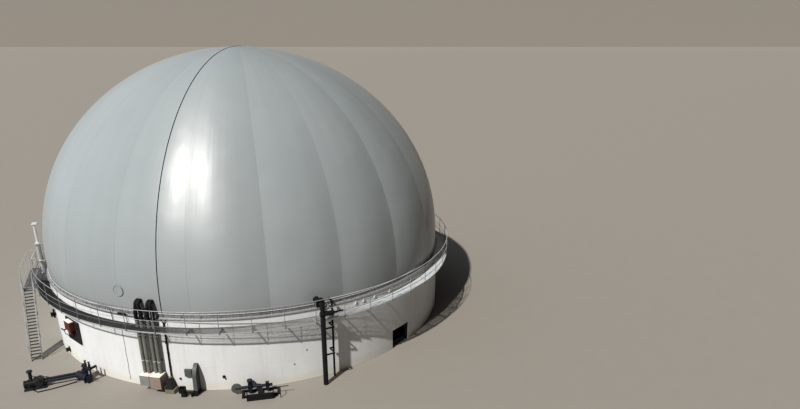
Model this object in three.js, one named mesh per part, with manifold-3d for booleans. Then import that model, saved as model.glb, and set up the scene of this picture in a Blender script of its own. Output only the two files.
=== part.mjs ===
// Biogas digester: a round concrete tank under an inflated double-membrane dome, with a grated
// gallery, a steep stair, gas and air pipes and its pumps. Millimetres, +Z up.
// The origin is on the tank's axis at ground level. Azimuth 0 faces -Y and grows towards +X.
import * as THREE from 'three';
import { mergeVertices } from 'three/addons/utils/BufferGeometryUtils.js';
import Module from 'manifold-3d';

const wasm = await Module();
wasm.setup();

const deg = Math.PI / 180;
const GAP = 0.3; // clearance between pieces that touch

// The tank: a polygon of many flat facets stands for the round wall.
const FACETS = 104;
const STEP = 2 * Math.PI / FACETS;
const WALL_OUTER = 14000;
const WALL_THICKNESS = 300;
const WALL_INNER = WALL_OUTER - WALL_THICKNESS;
const WALL_HEIGHT = 4500;
const SLAB_HEIGHT = 250;
const WALL_SEGMENTS = 7;
const OPENING_START = 50.3 * deg;
const OPENING_END = 57.4 * deg;
const OPENING_HEIGHT = 1300;

// The dome: a spheroid that is widest a little above its foot.
const DOME_RADIUS = 13940;
const DOME_RISE = 13090;
const DOME_CENTRE_Z = 5530;
const DOME_SHELL = 40;
const DOME_ROWS = 12;
const DOME_SEGMENTS = 50;
const ROPE_AZIMUTH = -8.5 * deg;
const ROPE_WIDTH = 60;
const ROPE_THICKNESS = 22;
const ROPE_FOOT = 4600;
const WINDOW_AZIMUTH = -19.2 * deg;
const WINDOW_Z = 5930;
const WINDOW_RADIUS = 340;

// The gallery: arms on the wall carry an edge channel, a grating and a guardrail.
const GALLERY_SECTIONS = 4;
const FACETS_PER_GALLERY_SECTION = FACETS / GALLERY_SECTIONS;
const POST_STEP = 2 * STEP;
const FIRST_POST = -STEP / 2;
const GALLERY_OUTER = 14800;
const CHANNEL_WEB = 12;
const CHANNEL_BOTTOM = 3980;
const DECK_SUPPORT_Z = 4030;
const GRATING_THICKNESS = 30;
const DECK_Z = DECK_SUPPORT_Z + GRATING_THICKNESS;
const DECK_INNER = 14040;
const ARM_WIDTH = 60;
const ARM_DEPTH = 90;
const WALL_PLATE_WIDTH = 180;
const WALL_PLATE_BOTTOM = 3730;
const PLATE_THICKNESS = 12;
const POST_SIZE = 50;
const RAIL_RADIUS_LINE = GALLERY_OUTER + POST_SIZE / 2;
const TOP_RAIL_Z = 5360;
const KNEE_RAIL_Z = 4770;
const TOE_RAIL_Z = 4430;
const TOP_RAIL_TUBE = 25;
const LOWER_RAIL_TUBE = 18;
const GATEWAY_START = -64.3 * deg;
const GATEWAY_END = -57 * deg;
const GATE_POST_SHIFT = 0.25 * deg;

// The stair and its landing lie along a tangent. Local x runs down the stair, local -y outward.
const LANDING_AZIMUTH = -67.2 * deg;
const LANDING_START = -1250;
const LANDING_END = 2600;
const LANDING_OUTER = 15280;
const BEAM_WIDTH = 60;
const BEAM_DEPTH = 150;
const RISERS = 23;
const STAIR_RUN = 2400;
const STAIR_INNER = 14680;
const STAIR_OUTER = 15280;
const STRING_THICKNESS = 10;
const STRING_RISE = 420;
const TREAD_DEPTH = 150;
const TREAD_THICKNESS = 35;
const NOSING = 45;
const HANDRAIL_HEIGHT = 1000;
const HANDRAIL_SIZE = 40;

const galvanised = new THREE.MeshStandardMaterial({ color: 0xb4b8b8, roughness: 0.45, metalness: 0.8 });
const grating = new THREE.MeshStandardMaterial({ color: 0x8d9292, roughness: 0.55, metalness: 0.7 });
const concrete = new THREE.MeshStandardMaterial({ color: 0xd9d8d2, roughness: 0.9, metalness: 0 });
const membrane = new THREE.MeshStandardMaterial({ color: 0xa3aaa8, roughness: 0.38, metalness: 0 });
const blackPipe = new THREE.MeshStandardMaterial({ color: 0x141416, roughness: 0.4, metalness: 0 });
const olivePipe = new THREE.MeshStandardMaterial({ color: 0x6f7266, roughness: 0.5, metalness: 0 });
const darkSteel = new THREE.MeshStandardMaterial({ color: 0x3b3d40, roughness: 0.5, metalness: 0.3 });
const redPaint = new THREE.MeshStandardMaterial({ color: 0x5a211c, roughness: 0.5, metalness: 0.2 });
const bluePaint = new THREE.MeshStandardMaterial({ color: 0x1c2438, roughness: 0.45, metalness: 0.2 });
const greyPaint = new THREE.MeshStandardMaterial({ color: 0x8c8e8b, roughness: 0.5, metalness: 0.2 });
const brownPaint = new THREE.MeshStandardMaterial({ color: 0x84695c, roughness: 0.6, metalness: 0.1 });

const digester = new THREE.Group();

function add(name, geometry, material, parent = digester) {
  const mesh = new THREE.Mesh(geometry, material);
  mesh.name = name;
  parent.add(mesh);
  return mesh;
}

// A group turned so that its local -Y axis points outward at the azimuth.
function station(azimuth) {
  const group = new THREE.Group();
  group.rotation.z = azimuth;
  digester.add(group);
  return group;
}

function toSolid(geometry) {
  const bare = geometry.clone();
  bare.deleteAttribute('normal');
  bare.deleteAttribute('uv');
  const merged = mergeVertices(bare, 1e-3);
  const source = merged.index.array;
  const points = merged.attributes.position.array;
  const triangles = [];
  for (let i = 0; i < source.length; i += 3) {
    const [a, b, c] = [source[i], source[i + 1], source[i + 2]];
    if (a !== b && b !== c && c !== a) triangles.push(a, b, c);
  }
  if (signedVolume(points, triangles) < 0) {
    for (let i = 0; i < triangles.length; i += 3) {
      [triangles[i], triangles[i + 1]] = [triangles[i + 1], triangles[i]];
    }
  }
  return new wasm.Manifold(new wasm.Mesh({
    numProp: 3,
    vertProperties: new Float32Array(points),
    triVerts: new Uint32Array(triangles),
  }));
}

function signedVolume(points, triangles) {
  const corner = (i) => new THREE.Vector3().fromArray(points, 3 * triangles[i]);
  let volume = 0;
  for (let i = 0; i < triangles.length; i += 3) {
    volume += corner(i).dot(corner(i + 1).cross(corner(i + 2)));
  }
  return volume / 6;
}

function toGeometry(solid) {
  const mesh = solid.getMesh();
  const geometry = new THREE.BufferGeometry();
  geometry.setAttribute('position', new THREE.BufferAttribute(mesh.vertProperties, 3));
  geometry.setIndex(new THREE.BufferAttribute(mesh.triVerts, 1));
  return geometry;
}

function joined(geometries) {
  return geometries.map(toSolid).reduce((whole, piece) => whole.add(piece));
}

// A box from its lowest to its highest corner.
function box(x0, x1, y0, y1, z0, z1) {
  const geometry = new THREE.BoxGeometry(x1 - x0, y1 - y0, z1 - z0);
  return geometry.translate((x0 + x1) / 2, (y0 + y1) / 2, (z0 + z1) / 2);
}

// A box in a station's frame: x along the wall, near and far measured outward from the axis.
function wallBox(x0, x1, near, far, z0, z1) {
  return box(x0, x1, -far, -near, z0, z1);
}

function uprightTube(x, distance, radius, z0, z1, sides = 12) {
  const geometry = new THREE.CylinderGeometry(radius, radius, z1 - z0, sides);
  return geometry.rotateX(Math.PI / 2).translate(x, -distance, (z0 + z1) / 2);
}

// A tube along the wall's tangent.
function levelTube(x0, x1, distance, z, radius, sides = 12) {
  const geometry = new THREE.CylinderGeometry(radius, radius, x1 - x0, sides);
  return geometry.rotateZ(Math.PI / 2).translate((x0 + x1) / 2, -distance, z);
}

// A tube that points outward from the wall.
function outwardTube(x, near, far, z, radius, sides = 12) {
  const geometry = new THREE.CylinderGeometry(radius, radius, far - near, sides);
  return geometry.translate(x, -(near + far) / 2, z);
}

function polar(distance, azimuth) {
  return new THREE.Vector2(distance * Math.sin(azimuth), -distance * Math.cos(azimuth));
}

// A slab with the wall's facets: its apothem is the distance from the axis to a facet.
function disc(apothem, bottom, top) {
  const points = [];
  for (let i = 0; i < FACETS; i += 1) points.push(polar(apothem / Math.cos(STEP / 2), i * STEP));
  const shape = new THREE.Shape(points);
  const geometry = new THREE.ExtrudeGeometry(shape, { depth: top - bottom, bevelEnabled: false });
  return geometry.translate(0, 0, bottom);
}

function flatRing(inner, outer, bottom, top) {
  return toSolid(disc(outer, bottom, top)).subtract(toSolid(disc(inner, bottom - 10, top + 10)));
}

// A profile of (distance, height) points turned about the tank's axis.
function turned(profile, segments, phase) {
  const points = profile.map(([distance, z]) => new THREE.Vector2(distance, z));
  return new THREE.LatheGeometry(points, segments, phase).rotateX(Math.PI / 2);
}

function closedRing(profile, segments, phase) {
  return turned([...profile, profile[0]], segments, phase);
}

// A wedge-shaped block that keeps what lies between two azimuths less than half a turn apart.
function wedge(start, end, trim = GAP / 2) {
  const reach = 2 * GALLERY_OUTER;
  const middle = (start + end) / 2;
  const angle = trim / GALLERY_OUTER;
  const shape = new THREE.Shape([
    new THREE.Vector2(0, 0),
    polar(reach, start + angle),
    polar(reach, middle),
    polar(reach, end - angle),
  ]);
  const geometry = new THREE.ExtrudeGeometry(shape, { depth: 8000, bevelEnabled: false });
  return toSolid(geometry.translate(0, 0, -100));
}

const wallCutter = toSolid(disc(WALL_OUTER + GAP, -100, WALL_HEIGHT));
const rimCutter = toSolid(disc(GALLERY_OUTER + GAP, 3500, 6000));

// Tank

function buildTank() {
  add('base_slab', disc(WALL_INNER - GAP, 0, SLAB_HEIGHT), concrete);
  const wall = flatRing(WALL_INNER, WALL_OUTER, 0, WALL_HEIGHT);
  const width = (2 * Math.PI - OPENING_END + OPENING_START) / WALL_SEGMENTS;
  for (let i = 0; i < WALL_SEGMENTS; i += 1) {
    const start = OPENING_END + i * width;
    add(`wall_segment_${i + 1}`, toGeometry(wall.intersect(wedge(start, start + width))), concrete);
  }
  const band = flatRing(WALL_INNER, WALL_OUTER, OPENING_HEIGHT, WALL_HEIGHT);
  add('opening_lintel', toGeometry(band.intersect(wedge(OPENING_START, OPENING_END))), concrete);
}

// Dome

// The same rows serve every layer, so that the layers stay parallel.
const domeAngles = [];
const lowestAngle = Math.asin((WALL_HEIGHT + GAP - DOME_CENTRE_Z) / DOME_RISE);
for (let i = 0; i <= DOME_ROWS; i += 1) {
  domeAngles.push(lowestAngle + (Math.PI / 2 - lowestAngle) * i / DOME_ROWS);
}

function domeCurve(offset, foot) {
  const points = domeAngles.map((angle) => [
    (DOME_RADIUS + offset) * Math.cos(angle),
    DOME_CENTRE_Z + (DOME_RISE + offset) * Math.sin(angle),
  ]);
  points[0][1] = foot;
  points[DOME_ROWS][0] = 0;
  return points;
}

function domeCutter() {
  const curve = domeCurve(GAP, WALL_HEIGHT + GAP);
  const below = WALL_HEIGHT - 200;
  const profile = [[0, below], [curve[0][0], below], ...curve];
  return toSolid(turned(profile, DOME_SEGMENTS, ROPE_AZIMUTH));
}

const domeBlank = domeCutter();

function buildDome() {
  const foot = WALL_HEIGHT + GAP;
  const outside = domeCurve(0, foot);
  const inside = domeCurve(-DOME_SHELL, foot);
  const shell = turned([...inside.reverse(), ...outside], DOME_SEGMENTS, ROPE_AZIMUTH);
  add('dome_membrane', toGeometry(toSolid(shell)), membrane);

  // The rope lies on one edge line of the dome, from its foot over the crown and down behind.
  const both = (curve) => [...curve, ...curve.slice(0, -1).reverse().map(([x, z]) => [-x, z])];
  const curves = [both(domeCurve(ROPE_THICKNESS, ROPE_FOOT)), both(domeCurve(-50, ROPE_FOOT)).reverse()];
  const outline = curves.flat().map(([x, z]) => new THREE.Vector2(x, z));
  const rope = new THREE.ExtrudeGeometry(new THREE.Shape(outline), {
    depth: ROPE_WIDTH, bevelEnabled: false,
  });
  rope.translate(0, 0, -ROPE_WIDTH / 2).rotateX(Math.PI / 2).rotateZ(-Math.PI / 2);
  const seated = toSolid(rope.rotateZ(ROPE_AZIMUTH)).subtract(domeBlank);
  add('dome_rope', toGeometry(seated), blackPipe);

  const window = outwardTube(0, DOME_RADIUS - 200, DOME_RADIUS + 35, WINDOW_Z, WINDOW_RADIUS, 32);
  const placed = toSolid(window.rotateZ(WINDOW_AZIMUTH)).subtract(domeBlank);
  add('sight_window', toGeometry(placed), darkSteel);
}

// Gallery

const pipeAzimuths = [-14.3, -13.15, -11.35, -10.2].map((angle) => angle * deg);
const PIPE_RADIUS = 110;
const PIPE_DISTANCE = 14230;
const PIPE_HOLE = 130;
const CONDUIT_AZIMUTH = -8.15 * deg;
const CONDUIT_RADIUS = 45;
const CONDUIT_DISTANCE = WALL_OUTER + 60;
const CONDUIT_HOLE = 60;
const THIN_RISER_AZIMUTH = 30.57 * deg;
const THIN_RISER_DISTANCE = 14320;
const THIN_RISER_HOLE = 80;

function postAzimuths(start, end) {
  const azimuths = [];
  const first = Math.ceil((start - FIRST_POST) / POST_STEP);
  for (let i = first; FIRST_POST + i * POST_STEP < end; i += 1) {
    azimuths.push(FIRST_POST + i * POST_STEP);
  }
  return azimuths;
}

function galleryArm(azimuth) {
  const half = ARM_WIDTH / 2;
  const armBottom = DECK_SUPPORT_Z - ARM_DEPTH;
  const near = WALL_OUTER - 20;
  const arm = joined([
    wallBox(-half, half, near, GALLERY_OUTER - CHANNEL_WEB / 2, armBottom, DECK_SUPPORT_Z),
    wallBox(-WALL_PLATE_WIDTH / 2, WALL_PLATE_WIDTH / 2, near, WALL_OUTER + PLATE_THICKNESS,
      WALL_PLATE_BOTTOM, DECK_SUPPORT_Z - 10),
  ]);
  return arm.rotate([0, 0, azimuth / deg]);
}

function buildGallery() {
  const rim = 1 / Math.cos(STEP / 2);
  const flange = GALLERY_OUTER - 75;
  const web = GALLERY_OUTER - CHANNEL_WEB;
  const channel = toSolid(closedRing([
    [flange, CHANNEL_BOTTOM],
    [GALLERY_OUTER, CHANNEL_BOTTOM],
    [GALLERY_OUTER, DECK_Z],
    [web, DECK_Z],
    [web, CHANNEL_BOTTOM + CHANNEL_WEB],
    [flange, CHANNEL_BOTTOM + CHANNEL_WEB],
  ].map(([distance, z]) => [distance * rim, z]), FACETS, 0));
  const hole = (distance, radius, azimuth) =>
    toSolid(uprightTube(0, distance, radius, DECK_Z - 200, DECK_Z + 200).rotateZ(azimuth));
  const holes = pipeAzimuths.map((azimuth) => hole(PIPE_DISTANCE, PIPE_HOLE, azimuth));
  holes.push(hole(CONDUIT_DISTANCE, CONDUIT_HOLE, CONDUIT_AZIMUTH));
  holes.push(hole(THIN_RISER_DISTANCE, THIN_RISER_HOLE, THIN_RISER_AZIMUTH));
  let deck = flatRing(DECK_INNER, web - GAP, DECK_SUPPORT_Z + GAP, DECK_Z);
  for (const cut of holes) deck = deck.subtract(cut);
  for (let i = 0; i < GALLERY_SECTIONS; i += 1) {
    const start = i * FACETS_PER_GALLERY_SECTION * STEP;
    const end = start + FACETS_PER_GALLERY_SECTION * STEP;
    const keep = wedge(start, end);
    let frame = channel.intersect(keep);
    for (const azimuth of postAzimuths(start, end)) frame = frame.add(galleryArm(azimuth));
    add(`gallery_frame_${i + 1}`, toGeometry(frame.subtract(wallCutter)), galvanised);
    add(`gallery_deck_${i + 1}`, toGeometry(deck.intersect(keep)), grating);
  }
}

function railPost(azimuth) {
  const half = POST_SIZE / 2;
  const post = wallBox(-half, half, GALLERY_OUTER - 20, GALLERY_OUTER + POST_SIZE,
    CHANNEL_BOTTOM + 5, TOP_RAIL_Z);
  return toSolid(post.rotateZ(azimuth)).subtract(rimCutter);
}

function railRing(z, tube, sides) {
  const profile = [];
  for (let i = 0; i < sides; i += 1) {
    const angle = (i + 0.5) * 2 * Math.PI / sides;
    profile.push([RAIL_RADIUS_LINE + tube * Math.cos(angle), z + tube * Math.sin(angle)]);
  }
  return toSolid(closedRing(profile, FACETS / 2, FIRST_POST));
}

function buildGuardrails() {
  const rings = [
    railRing(TOP_RAIL_Z, TOP_RAIL_TUBE, 6),
    railRing(KNEE_RAIL_Z, LOWER_RAIL_TUBE, 4),
    railRing(TOE_RAIL_Z, LOWER_RAIL_TUBE, 4),
  ];
  const midBay = (bay) => FIRST_POST + (bay + 0.5) * POST_STEP;
  const spans = [
    [GATEWAY_END, midBay(4), [GATEWAY_END + GATE_POST_SHIFT]],
    [midBay(4), midBay(16), []],
    [midBay(16), midBay(29), []],
    [midBay(29), GATEWAY_START + 2 * Math.PI, [GATEWAY_START - GATE_POST_SHIFT]],
  ];
  spans.forEach(([start, end, extraPosts], i) => {
    const keep = wedge(start, end);
    let rail = rings.map((ring) => ring.intersect(keep)).reduce((whole, piece) => whole.add(piece));
    for (const azimuth of [...postAzimuths(start, end), ...extraPosts]) rail = rail.add(railPost(azimuth));
    add(`guardrail_${i + 1}`, toGeometry(rail), galvanised);
  });
}

// Landing and stair

function slopedPlate(points, near, far) {
  const shape = new THREE.Shape(points.map(([x, z]) => new THREE.Vector2(x, z)));
  const geometry = new THREE.ExtrudeGeometry(shape, { depth: far - near, bevelEnabled: false });
  return geometry.rotateX(Math.PI / 2).translate(0, -near, 0);
}

function buildLanding() {
  const place = station(LANDING_AZIMUTH);
  const ring = rimCutter.rotate([0, 0, -LANDING_AZIMUTH / deg]);
  const bottom = DECK_SUPPORT_Z - BEAM_DEPTH;
  const inner = GALLERY_OUTER - 600;
  const beamAt = (x) => wallBox(x, x + BEAM_WIDTH, inner, LANDING_OUTER, bottom, DECK_SUPPORT_Z);
  const postRoom = toSolid(disc(GALLERY_OUTER + POST_SIZE + GAP, 3500, 6000).rotateZ(-LANDING_AZIMUTH));
  const entry = wedge(GATEWAY_START + 0.05 * deg, GATEWAY_END - 0.05 * deg, 0)
    .rotate([0, 0, -LANDING_AZIMUTH / deg]);
  let frame = joined([
    wallBox(LANDING_START, LANDING_END, LANDING_OUTER - BEAM_WIDTH, LANDING_OUTER, bottom, DECK_SUPPORT_Z),
    beamAt(LANDING_START),
    beamAt(300),
    beamAt(1500),
    beamAt(LANDING_END - BEAM_WIDTH),
  ]);
  frame = frame.subtract(ring);
  add('landing_frame', toGeometry(frame), galvanised, place);

  const plate = toSolid(wallBox(LANDING_START, LANDING_END, inner, LANDING_OUTER,
    DECK_SUPPORT_Z + GAP, DECK_Z));
  const deck = plate.subtract(postRoom).add(plate.intersect(entry).subtract(ring));
  add('landing_deck', toGeometry(deck), grating, place);

  const near = LANDING_OUTER + GAP;
  const far = LANDING_OUTER + HANDRAIL_SIZE;
  const half = HANDRAIL_SIZE / 2;
  const endX = LANDING_START - HANDRAIL_SIZE;
  const endNear = 14940;
  const rails = [TOP_RAIL_Z, KNEE_RAIL_Z, TOE_RAIL_Z].flatMap((z) => [
    wallBox(endX, LANDING_END, near, far, z - half, z + half),
    wallBox(endX, LANDING_START - GAP, endNear, far, z - half, z + half),
  ]);
  const posts = [LANDING_START, 0, 1300, LANDING_END - HANDRAIL_SIZE].map(
    (x) => wallBox(x, x + HANDRAIL_SIZE, near, far, bottom, TOP_RAIL_Z));
  const endPost = wallBox(endX, LANDING_START - GAP, endNear, endNear + HANDRAIL_SIZE, bottom, TOP_RAIL_Z);
  add('landing_guardrail', toGeometry(joined([...rails, ...posts, endPost])), galvanised, place);
}

function buildStair() {
  const place = station(LANDING_AZIMUTH);
  const rise = DECK_Z / RISERS;
  const going = STAIR_RUN / (RISERS - 1);
  const slope = rise / going;
  const start = LANDING_END + GAP;
  const noseX = LANDING_END + NOSING;
  const edgeLine = (x) => DECK_Z + 60 - slope * (x - noseX);
  const edgeX = (z) => noseX + (DECK_Z + 60 - z) / slope;
  const stringLine = [
    [start, DECK_Z],
    [edgeX(DECK_Z), DECK_Z],
    [edgeX(0), 0],
    [edgeX(STRING_RISE), 0],
    [start, edgeLine(start) - STRING_RISE],
  ];
  const pieces = [
    slopedPlate(stringLine, STAIR_INNER, STAIR_INNER + STRING_THICKNESS),
    slopedPlate(stringLine, STAIR_OUTER - STRING_THICKNESS, STAIR_OUTER),
  ];
  for (let i = 1; i < RISERS; i += 1) {
    const top = i * rise;
    const front = noseX + (RISERS - i) * going;
    pieces.push(wallBox(front - TREAD_DEPTH, front, STAIR_INNER + 2, STAIR_OUTER - 2,
      top - TREAD_THICKNESS, top));
  }
  add('stair_flight', toGeometry(joined(pieces)), galvanised, place);

  const railAt = (x) => edgeLine(x) - 60 + HANDRAIL_HEIGHT;
  const railEnd = edgeX(0) - 150;
  const thickness = HANDRAIL_SIZE / Math.cos(Math.atan(slope));
  const handrail = (near, far) => {
    const bars = [0, -HANDRAIL_HEIGHT / 2].map((drop) => slopedPlate([
      [start, railAt(start) + drop],
      [railEnd, railAt(railEnd) + drop],
      [railEnd, railAt(railEnd) + drop - thickness],
      [start, railAt(start) + drop - thickness],
    ], near, far));
    const posts = [0.04, 0.36, 0.68, 0.99].map((share) => {
      const x = start + share * (railEnd - HANDRAIL_SIZE - start);
      const low = edgeLine(x + HANDRAIL_SIZE) - STRING_RISE * 0.7;
      return wallBox(x, x + HANDRAIL_SIZE, near, far, Math.max(low, 60), railAt(x + HANDRAIL_SIZE) - 10);
    });
    return toGeometry(joined([...bars, ...posts]));
  };
  add('stair_handrail_outer', handrail(STAIR_OUTER + GAP, STAIR_OUTER + HANDRAIL_SIZE), galvanised, place);
  add('stair_handrail_inner', handrail(STAIR_INNER - HANDRAIL_SIZE, STAIR_INNER - GAP), galvanised, place);
}

// Gas side

function buildRelief() {
  const place = station(-68 * deg);
  const distance = 14400;
  const valve = joined([
    uprightTube(-150, distance, 80, DECK_Z + GAP, 4950),
    uprightTube(150, distance, 80, DECK_Z + GAP, 4950),
    levelTube(-150, 150, distance, 4700, 70),
    wallBox(-330, 330, distance - 165, distance + 165, 4940, 4985),
    uprightTube(-140, distance, 125, 4980, 6140, 14),
    uprightTube(140, distance, 125, 4980, 6140, 14),
    wallBox(-350, 350, distance - 170, distance + 170, 6130, 6175),
    outwardTube(0, 13800, distance, 4700, 70),
  ]).subtract(domeBlank.rotate([0, 0, 68]));
  add('relief_valve', toGeometry(valve), galvanised, place);
  const stack = joined([
    uprightTube(-80, distance, 85, 6175 + GAP, 7440),
    wallBox(-520, 60, distance - 150, distance + 150, 7430, 7475),
  ]);
  add('vent_stack', toGeometry(stack), galvanised, place);
}

const RISER_AZIMUTH = 27.25 * deg;
const RISER_DISTANCE = 15000;
const RISER_RADIUS = 150;
const THIN_RISER_RADIUS = 65;
const HEADER_Z = 4560;
const HEADER_RADIUS = 150;
const CROSSOVER_Z = 5070;

function buildRisers() {
  const place = station(RISER_AZIMUTH);
  const riser = joined([
    uprightTube(0, RISER_DISTANCE, RISER_RADIUS, 0, HEADER_Z - HEADER_RADIUS - GAP, 16),
    wallBox(-40, 40, GALLERY_OUTER - 40, RISER_DISTANCE, CHANNEL_BOTTOM + 10, DECK_Z - 10),
  ]).subtract(rimCutter.rotate([0, 0, -RISER_AZIMUTH / deg]));
  add('gas_riser', toGeometry(riser), blackPipe, place);

  const head = joined([
    levelTube(-RISER_RADIUS, 640, RISER_DISTANCE, HEADER_Z, HEADER_RADIUS, 16),
    levelTube(600, 1250, RISER_DISTANCE, HEADER_Z, 60),
    uprightTube(0, RISER_DISTANCE, RISER_RADIUS - 10, HEADER_Z, CROSSOVER_Z + 60, 16),
    outwardTube(0, 13700, RISER_DISTANCE + 60, CROSSOVER_Z, RISER_RADIUS - 12, 16),
    wallBox(-210, 260, 14250, 14700, CROSSOVER_Z - 210, CROSSOVER_Z + 210),
  ]).subtract(domeBlank.rotate([0, 0, -RISER_AZIMUTH / deg]));
  add('riser_head', toGeometry(head), blackPipe, place);
}

// The thin riser stands close to the wall, goes up through the deck and turns into the dome.
// A strut holds it to the thick one.
function buildCondensateRiser() {
  const turn = RISER_AZIMUTH - THIN_RISER_AZIMUTH;
  const riserX = RISER_DISTANCE * Math.sin(turn);
  const riserY = RISER_DISTANCE * Math.cos(turn);
  const half = 30;
  const cornerX = -230;
  const strut = (z) => [
    wallBox(riserX + RISER_RADIUS + 1, cornerX + half, riserY - half, riserY + half, z - 45, z + 45),
    wallBox(cornerX - half, cornerX + half, THIN_RISER_DISTANCE - half, riserY + half, z - 45, z + 45),
    wallBox(cornerX - half, 0, THIN_RISER_DISTANCE - half, THIN_RISER_DISTANCE + half, z - 45, z + 45),
  ];
  const elbowZ = 4950;
  const riser = joined([
    uprightTube(0, THIN_RISER_DISTANCE, THIN_RISER_RADIUS, 0, elbowZ + 50),
    outwardTube(0, 13700, THIN_RISER_DISTANCE, elbowZ, THIN_RISER_RADIUS - 5),
    ...strut(1920),
    ...strut(3600),
  ]).subtract(domeBlank.rotate([0, 0, -THIN_RISER_AZIMUTH / deg]));
  add('condensate_riser', toGeometry(riser), blackPipe, station(THIN_RISER_AZIMUTH));
}

// Air side

const HOSE_RADIUS = 112;
const HOSE_LEAN = 62;
const HOSE_BEND = 190;
const HOSE_BEND_Z = 5350;
const PIPE_TOP = 4330;

function hose(x, lean, azimuth) {
  const start = new THREE.Vector3(x, -PIPE_DISTANCE, PIPE_TOP - 60);
  const middle = new THREE.Vector3(x + lean, -PIPE_DISTANCE, HOSE_BEND_Z);
  const points = [start, new THREE.Vector3(x + lean * 0.1, -PIPE_DISTANCE, PIPE_TOP + 350), middle];
  for (let i = 1; i <= 3; i += 1) {
    const angle = i * Math.PI / 6;
    points.push(new THREE.Vector3(
      x + lean,
      -PIPE_DISTANCE + HOSE_BEND * (1 - Math.cos(angle)),
      HOSE_BEND_Z + HOSE_BEND * Math.sin(angle),
    ));
  }
  points.push(new THREE.Vector3(x + lean, -PIPE_DISTANCE + HOSE_BEND + 260, HOSE_BEND_Z + HOSE_BEND));
  const section = new THREE.Shape();
  section.absarc(0, 0, HOSE_RADIUS, 0, 2 * Math.PI, false);
  const tube = new THREE.ExtrudeGeometry(section, {
    curveSegments: 5, steps: 10, bevelEnabled: false,
    extrudePath: new THREE.CatmullRomCurve3(points),
  });
  return toSolid(tube.rotateZ(azimuth));
}

function airPair(name, first, second, boxTop) {
  const azimuth = (pipeAzimuths[first] + pipeAzimuths[second]) / 2;
  const x = PIPE_DISTANCE * Math.sin((pipeAzimuths[second] - pipeAzimuths[first]) / 2);
  const cutter = wallCutter.rotate([0, 0, -azimuth / deg]);
  const clamp = (z) => wallBox(-x - 90, x + 90, WALL_OUTER - 20, PIPE_DISTANCE - 40, z - 40, z + 40);
  const pipes = joined([
    uprightTube(-x, PIPE_DISTANCE, PIPE_RADIUS, boxTop + GAP, PIPE_TOP, 14),
    uprightTube(x, PIPE_DISTANCE, PIPE_RADIUS, boxTop + GAP, PIPE_TOP, 14),
    clamp(1900),
    clamp(3500),
  ]).subtract(cutter);
  add(`air_pipes_${name}`, toGeometry(pipes), olivePipe, station(azimuth));

  const below = toSolid(wallBox(-800, 800, 13500, 15000, 4000, PIPE_TOP + GAP).rotateZ(azimuth));
  const hoses = hose(-x, HOSE_LEAN, azimuth).add(hose(x, -HOSE_LEAN, azimuth));
  add(`air_hoses_${name}`, toGeometry(hoses.subtract(below).subtract(domeBlank)), blackPipe);
}

function blowerBox(name, azimuth, width, near, far, bottom, top, material) {
  const half = width / 2;
  const cutter = wallCutter.rotate([0, 0, -azimuth / deg]);
  const arms = [-half + 40, half - 100].map(
    (x) => wallBox(x, x + 60, WALL_OUTER - 20, near + 5, bottom + 60, bottom + 140));
  const body = joined([wallBox(-half, half, near, far, bottom, top), ...arms]).subtract(cutter);
  add(name, toGeometry(body), material, station(azimuth));
}

function buildAirSupply() {
  const greyTop = 1080;
  const brownTop = 1150;
  airPair('left', 0, 1, greyTop);
  airPair('right', 2, 3, brownTop);
  const leftAzimuth = (pipeAzimuths[0] + pipeAzimuths[1]) / 2;
  const rightAzimuth = (pipeAzimuths[2] + pipeAzimuths[3]) / 2;
  blowerBox('blower_box_grey', leftAzimuth, 620, 14060, 14620, 400, greyTop, greyPaint);
  blowerBox('blower_box_brown', rightAzimuth, 680, 14060, 14720, 350, brownTop, brownPaint);
}

// Wall fittings

function buildMixer() {
  const place = station(-11.5 * STEP); // the middle of a facet
  const back = WALL_OUTER + GAP;
  const face = back + 70;
  const [x0, x1, z0, z1] = [-750, 930, 1550, 3030];
  const border = 60;
  const plate = joined([
    wallBox(x0, x1, back, back + 30, z0, z1),
    wallBox(x0, x1, back, face, z0, z0 + border),
    wallBox(x0, x1, back, face, z1 - border, z1),
    wallBox(x0, x0 + border, back, face, z0, z1),
    wallBox(x1 - border, x1, back, face, z0, z1),
  ]);
  add('mixer_plate', toGeometry(plate), darkSteel, place);
  const seat = back + 30 + GAP;
  const drive = joined([
    wallBox(-400, 320, seat, seat + 300, 2340, 2960),
    outwardTube(-20, seat, seat + 210, 2190, 170, 14),
    outwardTube(-340, seat, seat + 430, 2330, 45, 10),
    levelTube(-640, -320, seat + 400, 2330, 40, 10),
  ]);
  add('mixer_drive', toGeometry(drive), redPaint, place);
}

function buildSideValve() {
  const azimuth = -57.6 * deg;
  const valve = joined([
    outwardTube(0, WALL_OUTER - 60, WALL_OUTER + 330, 1850, 110),
    outwardTube(0, WALL_OUTER + 200, WALL_OUTER + 245, 1850, 190),
    wallBox(-60, 60, WALL_OUTER + 60, WALL_OUTER + 180, 1600, 2200),
  ]).subtract(wallCutter.rotate([0, 0, -azimuth / deg]));
  add('side_valve', toGeometry(valve), darkSteel, station(azimuth));
}

// The transfer pump stands on the ground beside the valve group. Its local +x points at the group.
const PUMP_PLACE = new THREE.Vector3(-9950, -13620, 0);
const PUMP_TURN = 24 * deg;
const PUMP_FLANGE_X = 430;
const PUMP_PIPES = [-150, 150];
const PUMP_PIPE_Z = 350;

// A tube along +x from x0 to x1.
function tubeAlongX(x0, x1, y, z, radius, sides = 12) {
  return levelTube(x0, x1, -y, z, radius, sides);
}

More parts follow.
